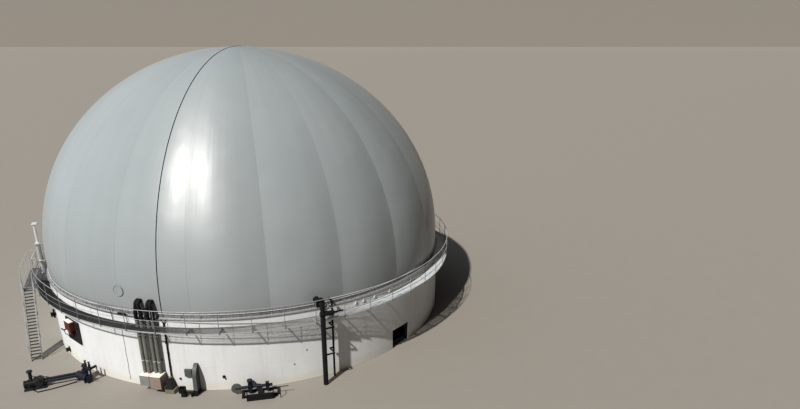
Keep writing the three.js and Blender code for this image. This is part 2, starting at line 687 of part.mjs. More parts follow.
function buildValveGroup() {
  const azimuth = -30.2 * deg;
  const uprights = [[-220, 1020], [40, 1300], [400, 1300]].flatMap(([x, top]) => [
    uprightTube(x, 14870, 55, 420, top),
    uprightTube(x, 14870, 85, top - 15, top + 20),
  ]);
  const stand = joined([
    ...uprights,
    levelTube(-550, 330, 15060, 305, 245, 16),
    wallBox(300, 480, 14820, 15190, 60, 460),
    wallBox(-450, -330, 14890, 15230, 0, 210),
    wallBox(150, 270, 14890, 15230, 0, 210),
    wallBox(-290, 70, 14790, 15010, 400, 700),
    levelTube(-320, 470, 14872, 855, 82),
    outwardTube(-390, WALL_OUTER - 60, 14900, 400, 90),
  ].map((piece) => piece.rotateZ(azimuth)));
  const pipes = joined(PUMP_PIPES.map((y) => tubeAlongX(PUMP_FLANGE_X + GAP, 2150, y, PUMP_PIPE_Z, 78)
    .rotateZ(PUMP_TURN).translate(PUMP_PLACE.x, PUMP_PLACE.y, 0)));
  add('valve_group', toGeometry(stand.add(pipes).subtract(wallCutter)), bluePaint);
}

function buildTransferPump() {
  const place = new THREE.Group();
  place.position.copy(PUMP_PLACE);
  place.rotation.z = PUMP_TURN;
  digester.add(place);
  const flanges = PUMP_PIPES.flatMap((y) => [
    tubeAlongX(200, PUMP_FLANGE_X, y, PUMP_PIPE_Z, 85),
    tubeAlongX(PUMP_FLANGE_X - 35, PUMP_FLANGE_X, y, PUMP_PIPE_Z, 125, 14),
  ]);
  const pump = joined([
    ...flanges,
    box(-780, 380, -330, 330, 0, 110),
    box(-150, 220, -300, 300, 100, 620),
    tubeAlongX(-760, -140, -60, 350, 215, 16),
    box(-640, -240, -200, 80, 100, 250),
    uprightTube(-420, -310, 105, 100, 930),
    uprightTube(-420, -310, 165, 915, 985, 14),
    tubeAlongX(-430, -120, 300, 520, 75),
  ]);
  add('transfer_pump', toGeometry(pump), darkSteel, place);
}

function buildConduit() {
  const place = station(CONDUIT_AZIMUTH);
  const cutter = wallCutter.rotate([0, 0, -CONDUIT_AZIMUTH / deg]);
  const clamps = [1500, 3300].map((z) => wallBox(-60, 60, WALL_OUTER - 20, CONDUIT_DISTANCE, z - 20, z + 20));
  const arms = [-1, 1].map((side) => {
    const arm = new THREE.CylinderGeometry(30, 30, 260, 10).rotateX(Math.PI / 2);
    return arm.translate(0, 0, 110).rotateY(side * 0.6).translate(0, -CONDUIT_DISTANCE, 4260);
  });
  const boot = new THREE.CylinderGeometry(120, 330, 650, 4, 1, false, Math.PI / 4);
  boot.rotateX(Math.PI / 2).translate(0, -14300, 575);
  const conduit = joined([
    boot,
    wallBox(-240, 330, 14020, 14560, 0, 260),
    wallBox(-70, 70, 14020, 14300, 760, 900),
    uprightTube(0, CONDUIT_DISTANCE, CONDUIT_RADIUS, 850, 4290),
    ...clamps,
    ...arms,
  ]).subtract(cutter);
  add('wall_conduit', toGeometry(conduit), darkSteel, place);
}

function buildFrontPump() {
  const place = station(-1.4 * deg);
  const cutter = wallCutter.rotate([0, 0, 1.4]);
  const pump = joined([
    wallBox(-1000, -650, 14500, 14800, 230, 600),
    levelTube(-700, -160, 14620, 260, 90),
    wallBox(-890, -590, 14540, 14800, 0, 240),
    wallBox(-340, -220, 14560, 14760, 0, 230),
  ]);
  add('covered_pump', toGeometry(slopedCover().add(pump).subtract(cutter)), darkSteel, place);
}

function slopedCover() {
  const side = new THREE.Shape([
    new THREE.Vector2(WALL_OUTER - 20, 0),
    new THREE.Vector2(14680, 0),
    new THREE.Vector2(14680, 260),
    new THREE.Vector2(14590, 300),
    new THREE.Vector2(14550, 1250),
    new THREE.Vector2(14390, 1610),
    new THREE.Vector2(14160, 1800),
    new THREE.Vector2(WALL_OUTER - 20, 1820),
  ]);
  const cover = new THREE.ExtrudeGeometry(side, { depth: 230, bevelEnabled: false });
  return toSolid(cover.translate(0, 0, -20).rotateX(Math.PI / 2).rotateZ(-Math.PI / 2));
}

function buildControlPanel() {
  const azimuth = -3.8 * deg;
  const panel = toSolid(wallBox(-210, 210, WALL_OUTER - 20, WALL_OUTER + 160, 950, 1410))
    .subtract(wallCutter.rotate([0, 0, -azimuth / deg]));
  add('control_panel', toGeometry(panel), greyPaint, station(azimuth));
}

function buildPumpSkid() {
  const azimuth = 12.6 * deg;
  const place = station(azimuth);
  const cutter = wallCutter.rotate([0, 0, -azimuth / deg]);
  const [near, far] = [14340, 15060];
  const [trayNear, trayFar] = [15055, 15420];
  const frame = joined([
    wallBox(-1050, 1050, near, near + 100, 0, 120),
    wallBox(-1050, 1050, far - 100, far, 0, 120),
    wallBox(-1050, -950, near, far, 0, 120),
    wallBox(950, 1050, near, far, 0, 120),
    wallBox(-150, 150, near, far, 0, 120),
    wallBox(-890, -840, far - 50, far, 100, 520),
    wallBox(700, 750, far - 50, far, 100, 520),
    wallBox(1090, 1140, 15360, 15410, 0, 520),
    wallBox(1090, 1140, far - 50, 15410, 480, 530),
    wallBox(-1050, 1600, far - 50, far, 480, 530),
    wallBox(-780, 740, trayNear, trayFar, 0, 90),
    wallBox(-780, 740, trayFar - 60, trayFar, 80, 400),
    wallBox(-780, -720, trayNear, trayFar, 80, 400),
    wallBox(680, 740, trayNear, trayFar, 80, 400),
  ]);
  add('pump_skid', toGeometry(frame), darkSteel, place);
  const pump = joined([
    outwardTube(-1330, 14500, 14620, 430, 290, 16),
    levelTube(-1400, 700, 14560, 430, 90),
    outwardTube(-400, WALL_OUTER - 60, 14560, 430, 90),
    wallBox(-700, -420, 14440, 14700, 120 + GAP, 560),
    wallBox(300, 520, 14460, 14680, 120 + GAP, 640),
    uprightTube(-560, 14570, 130, 550, 840, 14),
    uprightTube(-560, 14570, 165, 800, 900, 14),
  ]).subtract(cutter);
  add('feed_pump', toGeometry(pump), bluePaint, place);
}

buildTank();
buildDome();
buildGallery();
buildGuardrails();
buildLanding();
buildStair();
buildRelief();
buildRisers();
buildCondensateRiser();
buildAirSupply();
buildMixer();
buildSideValve();
buildValveGroup();
buildTransferPump();
buildConduit();
buildFrontPump();
buildControlPanel();
buildPumpSkid();

export default digester;
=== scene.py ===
"""Looks of the biogas digester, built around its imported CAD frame. Metres, +Z up.
Azimuth 0 faces -Y and grows towards +X."""
import math

import bmesh
import bpy
import numpy as np
from mathutils import Matrix, Vector


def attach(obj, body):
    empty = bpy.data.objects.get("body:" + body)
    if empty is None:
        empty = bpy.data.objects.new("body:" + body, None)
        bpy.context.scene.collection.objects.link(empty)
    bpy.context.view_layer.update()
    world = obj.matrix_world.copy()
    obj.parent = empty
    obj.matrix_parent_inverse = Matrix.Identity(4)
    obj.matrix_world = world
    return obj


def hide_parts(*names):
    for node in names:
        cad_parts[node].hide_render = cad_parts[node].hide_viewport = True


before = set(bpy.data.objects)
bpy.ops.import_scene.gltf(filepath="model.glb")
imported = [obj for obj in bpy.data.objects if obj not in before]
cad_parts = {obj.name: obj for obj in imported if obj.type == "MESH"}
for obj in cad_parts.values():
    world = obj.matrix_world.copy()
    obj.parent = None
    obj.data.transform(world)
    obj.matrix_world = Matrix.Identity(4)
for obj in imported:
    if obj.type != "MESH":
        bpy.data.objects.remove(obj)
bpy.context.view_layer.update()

ROOT = "root"

# Tank
WALL_OUTER = 14.003
WALL_INNER = 13.7
WALL_TOP = 4.5
ON_WALL = 14.006
ON_BRACKET = 14.008
OPENING = (50.3, 57.4)
OPENING_TOP = 1.3
PANEL = 9.8
FIRST_PANEL = 2.0
PANEL_HEIGHT = 1.5

# Dome
DOME_RADIUS = 13.94
DOME_RISE = 13.09
DOME_Z = 5.53
GORE = 18.0
SEAM = 16.4
SEAM_SINK = 0.034
ROPE = -8.5

# Gallery
DECK_Z = 4.06
DECK_LOW = 4.03
DECK_IN = 14.045
DECK_OUT = 14.785
RIM = 14.8
RIM_LOW = 3.98
ARM_LOW = 3.94
PLATE_LOW = 3.73
POSTS = 52
POST_STEP = 360 / POSTS
FIRST_POST = -POST_STEP / 4
RAIL_R = 14.825
TOP_RAIL = 5.36
KNEE_RAIL = 4.77
TOE_RAIL = 4.43
GATE = (-64.3, -57.0)
GATE_POST = 0.25

# The air pipes and the risers: azimuth and distance from the tank's axis
PIPES = (-14.3, -13.15, -11.35, -10.2)
PIPE_D = 14.23
PIPE_TOP = 4.33
RISER = 27.25
RISER_D = 15.0
THIN = 30.57
THIN_D = 14.32
RISER_HEAD_Z = 4.56
RISER_BRANCH_Z = 5.07

# The landing and the stair, in the landing's own x and distance
LANDING = -67.2
LAND_LEFT, LAND_RIGHT = -1.25, 2.6
LAND_OUT = 15.28
LAND_LOW = 3.88
RISERS = 23
RUN = 2.4
STAIR = (14.68, 15.28)
RAIL_ABOVE = 1.0

# Fittings
MIXER = -11.5 * 360 / 104
SIDE_VALVE_Z = 1.85
GROUP = -30.2
PUMP_PLACE = (-9.95, -13.62)
PUMP_TURN = 24
PUMP_FLANGE_X = 0.43
PUMP_PIPES = (-0.15, 0.15)
PUMP_PIPE_Z = 0.35
HOOD_X = (-0.208, 0.018)

# Studio
FLOOR_HALF = 900
BACKDROP_TOP = 300
SKY_COLOR = (0.80, 0.90, 1.0)
SUN_AZIMUTH, SUN_HEIGHT = -30.5, 48.3
SUN_ENERGY = 5.25
SUN_COLOR = (1.0, 0.97, 0.92)
CAMERA_PLACE = (11.249, -44.987, 19.5)
CAMERA_DOWN = 20.727
CAMERA_LENS = 27.69
CAMERA_SHIFT = 0.0761


# Meshes

def turn(azimuth):
    """Local x runs along the wall, local -y points outward at the azimuth."""
    return Matrix.Rotation(math.radians(azimuth), 4, "Z")


def polar(azimuth, radius, z):
    a = math.radians(azimuth)
    return Vector((radius * math.sin(a), -radius * math.cos(a), z))


def circle(count, radius):
    """Offsets of evenly spaced points round a circle."""
    for a in np.linspace(0, 2 * math.pi, count, endpoint=False):
        yield radius * math.cos(a), radius * math.sin(a)


class Shape:
    """Gathers closed bodies for one mesh."""

    def __init__(self, matrix=None):
        self.points = []
        self.faces = []
        self.smooth = []
        self.matrix = matrix or Matrix()

    def add(self, points, faces, smooth=False, matrix=None):
        m = self.matrix @ matrix if matrix else self.matrix
        base = len(self.points)
        self.points += [m @ Vector(p) for p in points]
        self.faces += [[base + i for i in f] for f in faces]
        self.smooth += [smooth] * len(faces)
        return self

    def box(self, x0, x1, y0, y1, z0, z1, matrix=None):
        p = [(x, y, z) for z in (z0, z1) for y in (y0, y1) for x in (x0, x1)]
        f = [(0, 2, 3, 1), (4, 5, 7, 6), (0, 1, 5, 4), (2, 6, 7, 3), (0, 4, 6, 2), (1, 3, 7, 5)]
        return self.add(p, f, False, matrix)

    def wall_box(self, x0, x1, near, far, z0, z1, matrix=None):
        return self.box(x0, x1, -far, -near, z0, z1, matrix)

    def tube(self, path, radius, sides, closed=False, matrix=None, flat=1.0):
        """A tube along a path. The radius may be one number or one for each point."""
        path = [Vector(p) for p in path]
        count = len(path)
        radii = radius if hasattr(radius, "__len__") else [radius] * count
        points, faces = [], []
        previous = None
        for i, p in enumerate(path):
            if closed:
                t = path[(i + 1) % count] - path[i - 1]
            else:
                t = path[min(i + 1, count - 1)] - path[max(i - 1, 0)]
            t.normalize()
            if previous is None:
                up = Vector((0, 0, 1)) if abs(t.z) < 0.9 else Vector((0, 1, 0))
                side = t.cross(up).normalized()
            else:
                side = (previous - t * previous.dot(t)).normalized()
            previous = side
            other = side.cross(t)
            for k in range(sides):
                a = 2 * math.pi * (k + 0.5) / sides
                points.append(p + radii[i] * (math.cos(a) * side + flat * math.sin(a) * other))
        for i in range(count if closed else count - 1):
            j = (i + 1) % count
            for k in range(sides):
                m = (k + 1) % sides
                faces.append((i * sides + k, i * sides + m, j * sides + m, j * sides + k))
        self.add(points, faces, sides > 4, matrix)
        if not closed:
            end = len(self.points)
            first = end - len(points)
            self.faces += [list(range(first + sides - 1, first - 1, -1)), list(range(end - sides, end))]
            self.smooth += [False, False]
        return self

    def rod(self, start, end, radius, sides, matrix=None):
        return self.tube([start, end], radius, sides, matrix=matrix)

    def upright(self, x, distance, radius, z0, z1, sides, matrix=None):
        return self.rod((x, -distance, z0), (x, -distance, z1), radius, sides, matrix)

    def level(self, x0, x1, distance, z, radius, sides):
        return self.rod((x0, -distance, z), (x1, -distance, z), radius, sides)

    def outward(self, x, near, far, z, radius, sides, matrix=None):
        return self.rod((x, -near, z), (x, -far, z), radius, sides, matrix)

    def ring(self, profile, start=0.0, end=360.0, steps=360, smooth=True):
        """A closed (radius, z) profile turned about the tank's axis."""
        whole = end - start >= 359.999
        count = steps if whole else steps + 1
        n = len(profile)
        points, faces = [], []
        for i in range(count):
            azimuth = start + (end - start) * i / steps
            points += [polar(azimuth, r, z) for r, z in profile]
        for i in range(steps):
            j = (i + 1) % count
            for k in range(n):
                m = (k + 1) % n
                faces.append((i * n + k, j * n + k, j * n + m, i * n + m))
        if not whole:
            faces.append(tuple(range(n)))
            faces.append(tuple(reversed(range((count - 1) * n, count * n))))
        return self.add(points, faces, smooth)

    def hoop(self, r0, r1, z0, z1, *span):
        """A ring with a rectangular profile."""
        return self.ring([(r0, z0), (r1, z0), (r1, z1), (r0, z1)], *span)

    def prism(self, outline, low, high, matrix=None):
        """An outline in the local (x, z) plane between two local y values."""
        n = len(outline)
        points = [(x, low, z) for x, z in outline] + [(x, high, z) for x, z in outline]
        faces = [tuple(range(n)), tuple(reversed(range(n, 2 * n)))]
        faces += [(k, n + k, n + (k + 1) % n, (k + 1) % n) for k in range(n)]
        return self.add(points, faces, False, matrix)

    def bolt(self, x, distance, z, radius, height, matrix=None):
        return self.rod((x, -distance, z), (x, -distance - height, z), radius, 6, matrix)

    def piece(self, name, material, slot, replaces=(), bevel=0.0, segments=1):
        mesh = bpy.data.meshes.new(name)
        mesh.from_pydata([tuple(p) for p in self.points], [], self.faces)
        mesh.polygons.foreach_set("use_smooth", self.smooth)
        mesh.validate()
        obj = show(name, mesh)
        fix_normals(mesh)
        mesh.materials.append(material)
        if bevel:
            mod = obj.modifiers.new("bevel", "BEVEL")
            mod.width = bevel
            mod.segments = segments
            mod.limit_method = "ANGLE"
            mod.angle_limit = math.radians(50)
            mod.harden_normals = True
        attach(obj, ROOT)
        if replaces:
            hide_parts(*replaces)
        return obj


def show(name, data):
    obj = bpy.data.objects.new(name, data)
    bpy.context.scene.collection.objects.link(obj)
    return obj


def fix_normals(mesh):
    b = bmesh.new()
    b.from_mesh(mesh)
    bmesh.ops.recalc_face_normals(b, faces=b.faces)
    for e in b.edges:
        if len(e.link_faces) == 2 and e.calc_face_angle(0) > math.radians(40):
            e.smooth = False
    b.to_mesh(mesh)
    b.free()


# Materials

class Nodes:
    """A short way to write the nodes of a material or a world. Stains are laid on its colour."""

    def __init__(self, name, kind="materials", place="Object"):
        self.owner = getattr(bpy.data, kind).new(name)
        self.owner.use_nodes = True
        self.tree = self.owner.node_tree
        self.place = self.node("ShaderNodeTexCoord").outputs[place]
        self.color = None

    def node(self, kind, inputs=None, **values):
        """A new node. The inputs, by number or name, are sockets or values."""
        n = self.tree.nodes.new(kind)
        for key, value in values.items():
            setattr(n, key, value)
        for key, source in (inputs or {}).items():
            self.link(source, n.inputs[key])
        return n

    def link(self, source, target):
        if isinstance(source, (int, float)):
            target.default_value = source
        elif isinstance(source, tuple):
            target.default_value = (*source, 1)
        else:
            self.tree.links.new(source, target)

    def math(self, operation, a, b=0.0):
        return self.node("ShaderNodeMath", {0: a, 1: b}, operation=operation).outputs[0]

    def times(self, a, b):
        return self.math("MULTIPLY", a, b)

    def axes(self):
        return self.node("ShaderNodeSeparateXYZ", {0: self.place}).outputs

    def azimuth(self):
        """Degrees round the tank."""
        x, y, _ = self.axes()
        return self.times(self.math("ARCTAN2", x, self.times(y, -1.0)), 180 / math.pi)

    def around(self):
        """Coordinates that follow the wall: metres round it, metres up."""
        arc = self.times(self.azimuth(), 14.0 * math.pi / 180)
        return self.node("ShaderNodeCombineXYZ", {0: arc, 2: self.axes()[2]}).outputs[0]

    def scaled(self, vector, scale):
        n = self.node("ShaderNodeMapping", {"Vector": vector})
        n.inputs["Scale"].default_value = scale
        return n.outputs[0]

    def noise(self, vector, scale, detail, rough=0.55):
        inputs = {"Vector": vector, "Scale": scale, "Detail": detail, "Roughness": rough}
        return self.node("ShaderNodeTexNoise", inputs).outputs["Fac"]

    def span(self, value, low, high, to_low=0.0, to_high=1.0):
        """The value's range from low to high, moved to another range and held inside it."""
        inputs = {"Value": value, "From Min": low, "From Max": high, "To Min": to_low, "To Max": to_high}
        return self.node("ShaderNodeMapRange", inputs, clamp=True).outputs[0]

    def mix(self, factor, a, b):
        return self.node("ShaderNodeMix", {0: factor, 6: a, 7: b}, data_type="RGBA").outputs[2]

    def stain(self, mask, share, color):
        """Lays a share of a colour over the material's own where the mask is 1."""
        self.color = self.mix(self.times(mask, share), self.color, color)

    def bump(self, height, strength, distance, normal=None):
        n = self.node("ShaderNodeBump", {"Height": height, "Strength": strength, "Distance": distance})
        if normal:
            self.link(normal, n.inputs["Normal"])
        return n.outputs[0]

    def finish(self, rough, metal=0.0, normal=None, **sockets):
        s = self.tree.nodes["Principled BSDF"].inputs
        self.link(self.color, s["Base Color"])
        self.link(rough, s["Roughness"])
        self.link(metal, s["Metallic"])
        if normal:
            self.link(normal, s["Normal"])
        for key, value in sockets.items():
            self.link(value, s[key.replace("_", " ")])
        return self.owner


def line_mask(n, value, period, width, offset):
    """1 on narrow lines that repeat every period of the value, 0 elsewhere."""
    shifted = n.math("ADD", value, -offset + 1000 * period)
    part = n.math("MODULO", shifted, period)
    half = n.math("ABSOLUTE", n.math("SUBTRACT", part, period / 2))
    return n.span(half, period / 2 - width, period / 2 - width * 0.4)


def membrane_material():
    n = Nodes("membrane")
    azimuth = n.azimuth()
    z = n.axes()[2]
    around = n.around()
    blotch = n.noise(n.place, 0.16, 3.0)
    streak = n.noise(n.scaled(around, (1.0, 1.0, 0.05)), 1.1, 4.0)
    fine = n.noise(n.place, 22.0, 3.0)
    from_seam = n.math("ADD", azimuth, 360 * 3 - SEAM)
    step = n.span(n.math("MODULO", from_seam, 2 * GORE), GORE - 0.05, GORE + 0.05)
    n.color = n.mix(n.span(blotch, 0.3, 0.7), (0.246, 0.274, 0.285), (0.276, 0.302, 0.311))
    n.stain(n.span(streak, 0.35, 0.75), 0.35, (0.216, 0.241, 0.250))
    n.stain(step, 0.25, (0.232, 0.256, 0.266))
    n.stain(n.span(fine, 0.4, 0.7), 0.07, (0.2, 0.21, 0.21))
    low = n.span(z, 4.5, 6.6, 1.0, 0.0)
    n.stain(low, 0.30, (0.21, 0.21, 0.212))
    seam = line_mask(n, azimuth, GORE, 0.14, SEAM)
    n.stain(seam, 0.45, (0.185, 0.20, 0.20))
    skirt = n.span(z, 4.93, 4.96, 1.0, 0.0)
    n.stain(skirt, 0.85, (0.185, 0.176, 0.184))
    # Painted shade: dark lines round the skirt stand for the shaded creases of its folds
    folds = n.times(skirt, line_mask(n, azimuth, 1.5, 0.12, 0.4))
    n.stain(folds, 0.55, (0.05, 0.05, 0.055))
    rough = n.math("ADD", n.span(streak, 0.3, 0.7, 0.36, 0.43), n.span(fine, 0.3, 0.7, 0.0, 0.03))
    bulge = n.math("SINE", n.times(n.math("MODULO", from_seam, GORE), math.pi / GORE))
    slack = n.times(n.span(z, 9.0, 17.0, 1.0, 0.0), n.span(azimuth, -15, 25, 0.3, 1.0))
    bulge = n.times(bulge, slack)
    wrinkle = n.noise(n.scaled(around, (1.0, 1.0, 0.12)), 0.9, 3.0)
    crumple = n.noise(n.place, 0.5, 1.0)
    normal = n.bump(bulge, 1.0, 0.10)
    normal = n.bump(wrinkle, 0.2, 0.05, normal)
    normal = n.bump(crumple, 0.5, 0.08, normal)
    normal = n.bump(fine, 0.05, 0.004, normal)
    weave = n.node("ShaderNodeTangent", direction_type="RADIAL", axis="Z").outputs[0]
    return n.finish(rough, 0.0, normal, Specular_IOR_Level=0.6, Anisotropic=0.65,
                    Anisotropic_Rotation=0.25, Tangent=weave)


def concrete_material():
    n = Nodes("concrete")
    x, y, z = n.axes()
    around = n.around()
    azimuth = n.azimuth()
    cloud = n.noise(n.place, 0.45, 5.0, 0.6)
    streak = n.noise(n.scaled(around, (1.0, 1.0, 0.07)), 2.6, 5.0, 0.6)
    grain = n.noise(n.place, 30.0, 4.0, 0.65)
    pores = n.noise(n.place, 75.0, 2.0, 0.5)
    n.color = n.mix(n.span(cloud, 0.3, 0.7), (0.590, 0.598, 0.602), (0.655, 0.664, 0.668))
    n.stain(n.span(streak, 0.5, 0.78), 0.35, (0.44, 0.445, 0.44))
    n.stain(n.span(grain, 0.45, 0.75), 0.16, (0.52, 0.51, 0.48))
    n.stain(n.span(pores, 0.68, 0.74), 0.4, (0.33, 0.32, 0.3))
    upright = line_mask(n, azimuth, PANEL, 0.05, FIRST_PANEL)
    level = line_mask(n, z, PANEL_HEIGHT, 0.012, 0.0)
    n.stain(n.math("MAXIMUM", upright, level), 0.28, (0.42, 0.41, 0.39))
    # Dots where the ties of the formwork were, four in each panel
    ties = n.times(line_mask(n, azimuth, PANEL / 2, 0.11, FIRST_PANEL + PANEL / 4),
                   line_mask(n, z, PANEL_HEIGHT / 2, 0.028, PANEL_HEIGHT / 4))
    n.stain(ties, 0.5, (0.24, 0.23, 0.22))
    # The inside is painted almost black, painted shade for the unlit inside of the tank, and splashed earth
    # stains the foot of the outer face.
    away = n.math("SQRT", n.math("ADD", n.times(x, x), n.times(y, y)))
    n.color = n.mix(n.span(away, 13.93, 13.97, 0.96, 0.0), n.color, (0.012, 0.011, 0.010))
    splash_edge = n.math("ADD", 0.22, n.times(n.noise(around, 1.3, 4.0), 0.55))
    splash = n.span(n.math("SUBTRACT", splash_edge, z), -0.12, 0.22)
    splash = n.times(splash, n.span(away, 13.93, 13.97))
    n.stain(splash, 0.42, (0.55, 0.50, 0.38))
    rough = n.span(grain, 0.3, 0.7, 0.78, 0.92)
    rubbed = n.math("ADD", n.times(grain, 0.5), n.times(streak, 0.5))
    return n.finish(rough, 0.0, n.bump(rubbed, 0.35, 0.012), Specular_IOR_Level=0.3)


def metal_material(name, color, dark, metal, dirt):
    n = Nodes(name)
    spangle = n.noise(n.place, 27.0, 2.0, 0.4)
    cloud = n.noise(n.place, 3.0, 5.0, 0.6)
    n.color = n.mix(n.span(spangle, 0.35, 0.65), color, tuple(c * 0.82 for c in color))
    n.stain(n.span(cloud, 0.5, 0.75), dirt, dark)
    return n.finish(n.span(cloud, 0.3, 0.7, 0.36, 0.55), metal, n.bump(spangle, 0.12, 0.003))


def paint_material(name, color, wear, rough, chips=0.66, specular=0.5, metal=0.0):
    n = Nodes(name)
    cloud = n.noise(n.place, 4.0, 5.0, 0.6)
    chip = n.noise(n.place, 24.0, 6.0, 0.7)
    fine = n.noise(n.place, 88.0, 3.0, 0.5)
    n.color = n.mix(n.span(cloud, 0.3, 0.75), color, tuple(min(1.0, c * 1.35 + 0.004) for c in color))
    n.stain(n.span(chip, chips, chips + 0.06), 0.75, wear)
    return n.finish(n.span(cloud, 0.3, 0.7, *rough), metal, n.bump(fine, 0.1, 0.003),
                    Specular_IOR_Level=specular)


def grating_material():
    """Galvanised bars with painted light and shade: painted dark at the stair's side as painted shade, and
    painted lighter toward the right as painted light where the bars catch the sun.
    """
    n = Nodes("grating")
    cloud = n.noise(n.place, 3.0, 5.0, 0.6)
    azimuth = n.azimuth()
    # Painted light toward the right and painted shade at the stair's side, set by azimuth
    sunlit_side_tone = n.mix(n.span(azimuth, 8, 45), (0.13, 0.135, 0.137), (0.66, 0.69, 0.71))
    shade_side_tone = n.mix(n.span(azimuth, -66, -58), (0.15, 0.155, 0.158), (0.034, 0.035, 0.036))
    n.color = n.mix(n.span(azimuth, -50, -5), shade_side_tone, sunlit_side_tone)
    n.stain(n.span(cloud, 0.5, 0.75), 0.35, (0.06, 0.062, 0.064))
    return n.finish(n.span(cloud, 0.3, 0.7, 0.40, 0.60), 0.3, n.bump(cloud, 0.12, 0.003))


MEMBRANE = membrane_material()
CONCRETE = concrete_material()
GALVANISED = metal_material("galvanised", (0.62, 0.64, 0.645), (0.30, 0.31, 0.31), 0.6, 0.35)
BRIGHT = metal_material("bright_galvanised", (0.80, 0.815, 0.82), (0.45, 0.46, 0.46), 0.45, 0.2)
GRATING = grating_material()
BLACK = paint_material("black_pipe", (0.004, 0.004, 0.005), (0.03, 0.03, 0.03),
                       (0.45, 0.6), chips=0.72, specular=0.16)
RAIL = metal_material("rail_steel", (0.60, 0.61, 0.61), (0.33, 0.335, 0.34), 0.35, 0.3)
STEEL = metal_material("stair_steel", (0.34, 0.345, 0.35), (0.17, 0.17, 0.172), 0.3, 0.3)
POST = metal_material("post_steel", (0.22, 0.225, 0.23), (0.12, 0.12, 0.125), 0.3, 0.3)
TOE = metal_material("toe_steel", (0.115, 0.118, 0.12), (0.07, 0.07, 0.072), 0.2, 0.3)
RUBBER = paint_material("black_rubber", (0.004, 0.004, 0.005), (0.02, 0.02, 0.02),
                        (0.6, 0.8), chips=0.74, specular=0.14)
OLIVE = paint_material("olive_pipe", (0.108, 0.111, 0.095), (0.24, 0.24, 0.21), (0.38, 0.55), specular=0.35)
DARK = paint_material("dark_steel", (0.014, 0.014, 0.015), (0.10, 0.095, 0.09), (0.45, 0.65), chips=0.70,
                      specular=0.25, metal=0.2)
RED = paint_material("red_paint", (0.075, 0.012, 0.010), (0.12, 0.07, 0.06), (0.40, 0.6), chips=0.70)
BLUE = paint_material("blue_paint", (0.004, 0.006, 0.014), (0.06, 0.06, 0.07), (0.35, 0.55), chips=0.68,
                      specular=0.3)
GREY = paint_material("grey_paint", (0.155, 0.157, 0.151), (0.24, 0.235, 0.22), (0.42, 0.6))
GREY_DARK = paint_material("hood_grey", (0.062, 0.066, 0.063), (0.17, 0.17, 0.165), (0.42, 0.6), specular=0.3)
BROWN = paint_material("brown_paint", (0.190, 0.142, 0.120), (0.32, 0.28, 0.24), (0.45, 0.65))
MOSS = paint_material("mossy_base", (0.115, 0.110, 0.070), (0.25, 0.22, 0.16), (0.6, 0.8))
# Painted light: a pale paint for the tops of the boxes and the mixer, standing for their sunlit tops
LIT_TOP_PAINT = paint_material("pale_lid", (0.66, 0.60, 0.54), (0.45, 0.40, 0.34), (0.5, 0.7))


# Tank

def build_wall():
    across, rest = 10, 490
    azimuths = [*np.linspace(*OPENING, across + 1)[:-1],
                *np.linspace(OPENING[1], OPENING[0] + 360, rest + 1)[:-1]]
    points, faces = [], []
    for azimuth in azimuths:
        points += [polar(azimuth, r, z) for z in (0.0, OPENING_TOP, WALL_TOP)
                   for r in (WALL_INNER, WALL_OUTER)]
    for i in range(len(azimuths)):
        a, b = i * 6, (i + 1) % len(azimuths) * 6
        if i < across:
            faces.append((a + 2, a + 3, b + 3, b + 2))
        else:
            faces += [(a + 1, b + 1, b + 3, a + 3), (a, a + 2, b + 2, b), (a, b, b + 1, a + 1)]
        faces += [(a + 3, b + 3, b + 5, a + 5), (a + 2, a + 4, b + 4, b + 2), (a + 4, a + 5, b + 5, b + 4)]
    faces += [(a, a + 1, a + 3, a + 2) for a in (0, across * 6)]
    nodes = [f"wall_segment_{i}" for i in range(1, 8)] + ["opening_lintel"]
    wall = Shape().add(points, faces, True)
    wall.piece("tank_wall", CONCRETE, "concrete", nodes, bevel=0.012, segments=2)


# Dome

def dome_radius(z):
    s = (z - DOME_Z) / DOME_RISE
    return DOME_RADIUS * math.sqrt(1 - s * s)


def dome_point(angle, azimuth, lift=0.0):
    """A point of the dome at an angle above its widest line. The skin sinks a little at the seams."""
    share = math.cos(angle)
    u = ((azimuth - SEAM) / GORE) % 1.0
    w = abs(2 * u - 1)
    sink = SEAM_SINK * share * w * w * min(1.0, max(0.0, (angle + 0.079) / 0.12))
    r = (DOME_RADIUS - sink + lift) * share
    z = DOME_Z + (DOME_RISE - sink * 0.6 + lift) * math.sin(angle)
    return polar(azimuth, r, z)


def build_dome():
    columns, rows = 360, 84
    low = math.asin((WALL_TOP + 0.002 - DOME_Z) / DOME_RISE)
    points, faces = [], []
    for j in range(rows):
        angle = low + (math.pi / 2 - low) * j / rows
        points += [dome_point(angle, SEAM + i * 360 / columns) for i in range(columns)]
    points.append(Vector((0, 0, DOME_Z + DOME_RISE - 0.001)))
    for j in range(rows):
        base = j * columns
        for i in range(columns):
            k = (i + 1) % columns
            above = (base + columns + k, base + columns + i) if j < rows - 1 else (len(points) - 1,)
            faces.append((base + i, base + k, *above))
    dome = Shape().add(points, faces, True).piece("dome_skin", MEMBRANE, "membrane", ["dome_membrane"])
    solid = dome.modifiers.new("thickness", "SOLIDIFY")
    solid.thickness = 0.02
    solid.offset = -1

    # A flattened rope runs over the crown.
    path = []
    steps = 120
    for i in range(steps + 1):
        share = -1 + 2 * i / steps
        angle = math.pi / 2 - abs(share) * (math.pi / 2 - low - 0.006)
        path.append(dome_point(angle, ROPE if share < 0 else ROPE + 180, 0.006))
    rope = Shape().tube(path, 0.026, 8, flat=0.6)
    rope.piece("crown_rope", RUBBER, "black_pipe", ["dome_rope"])


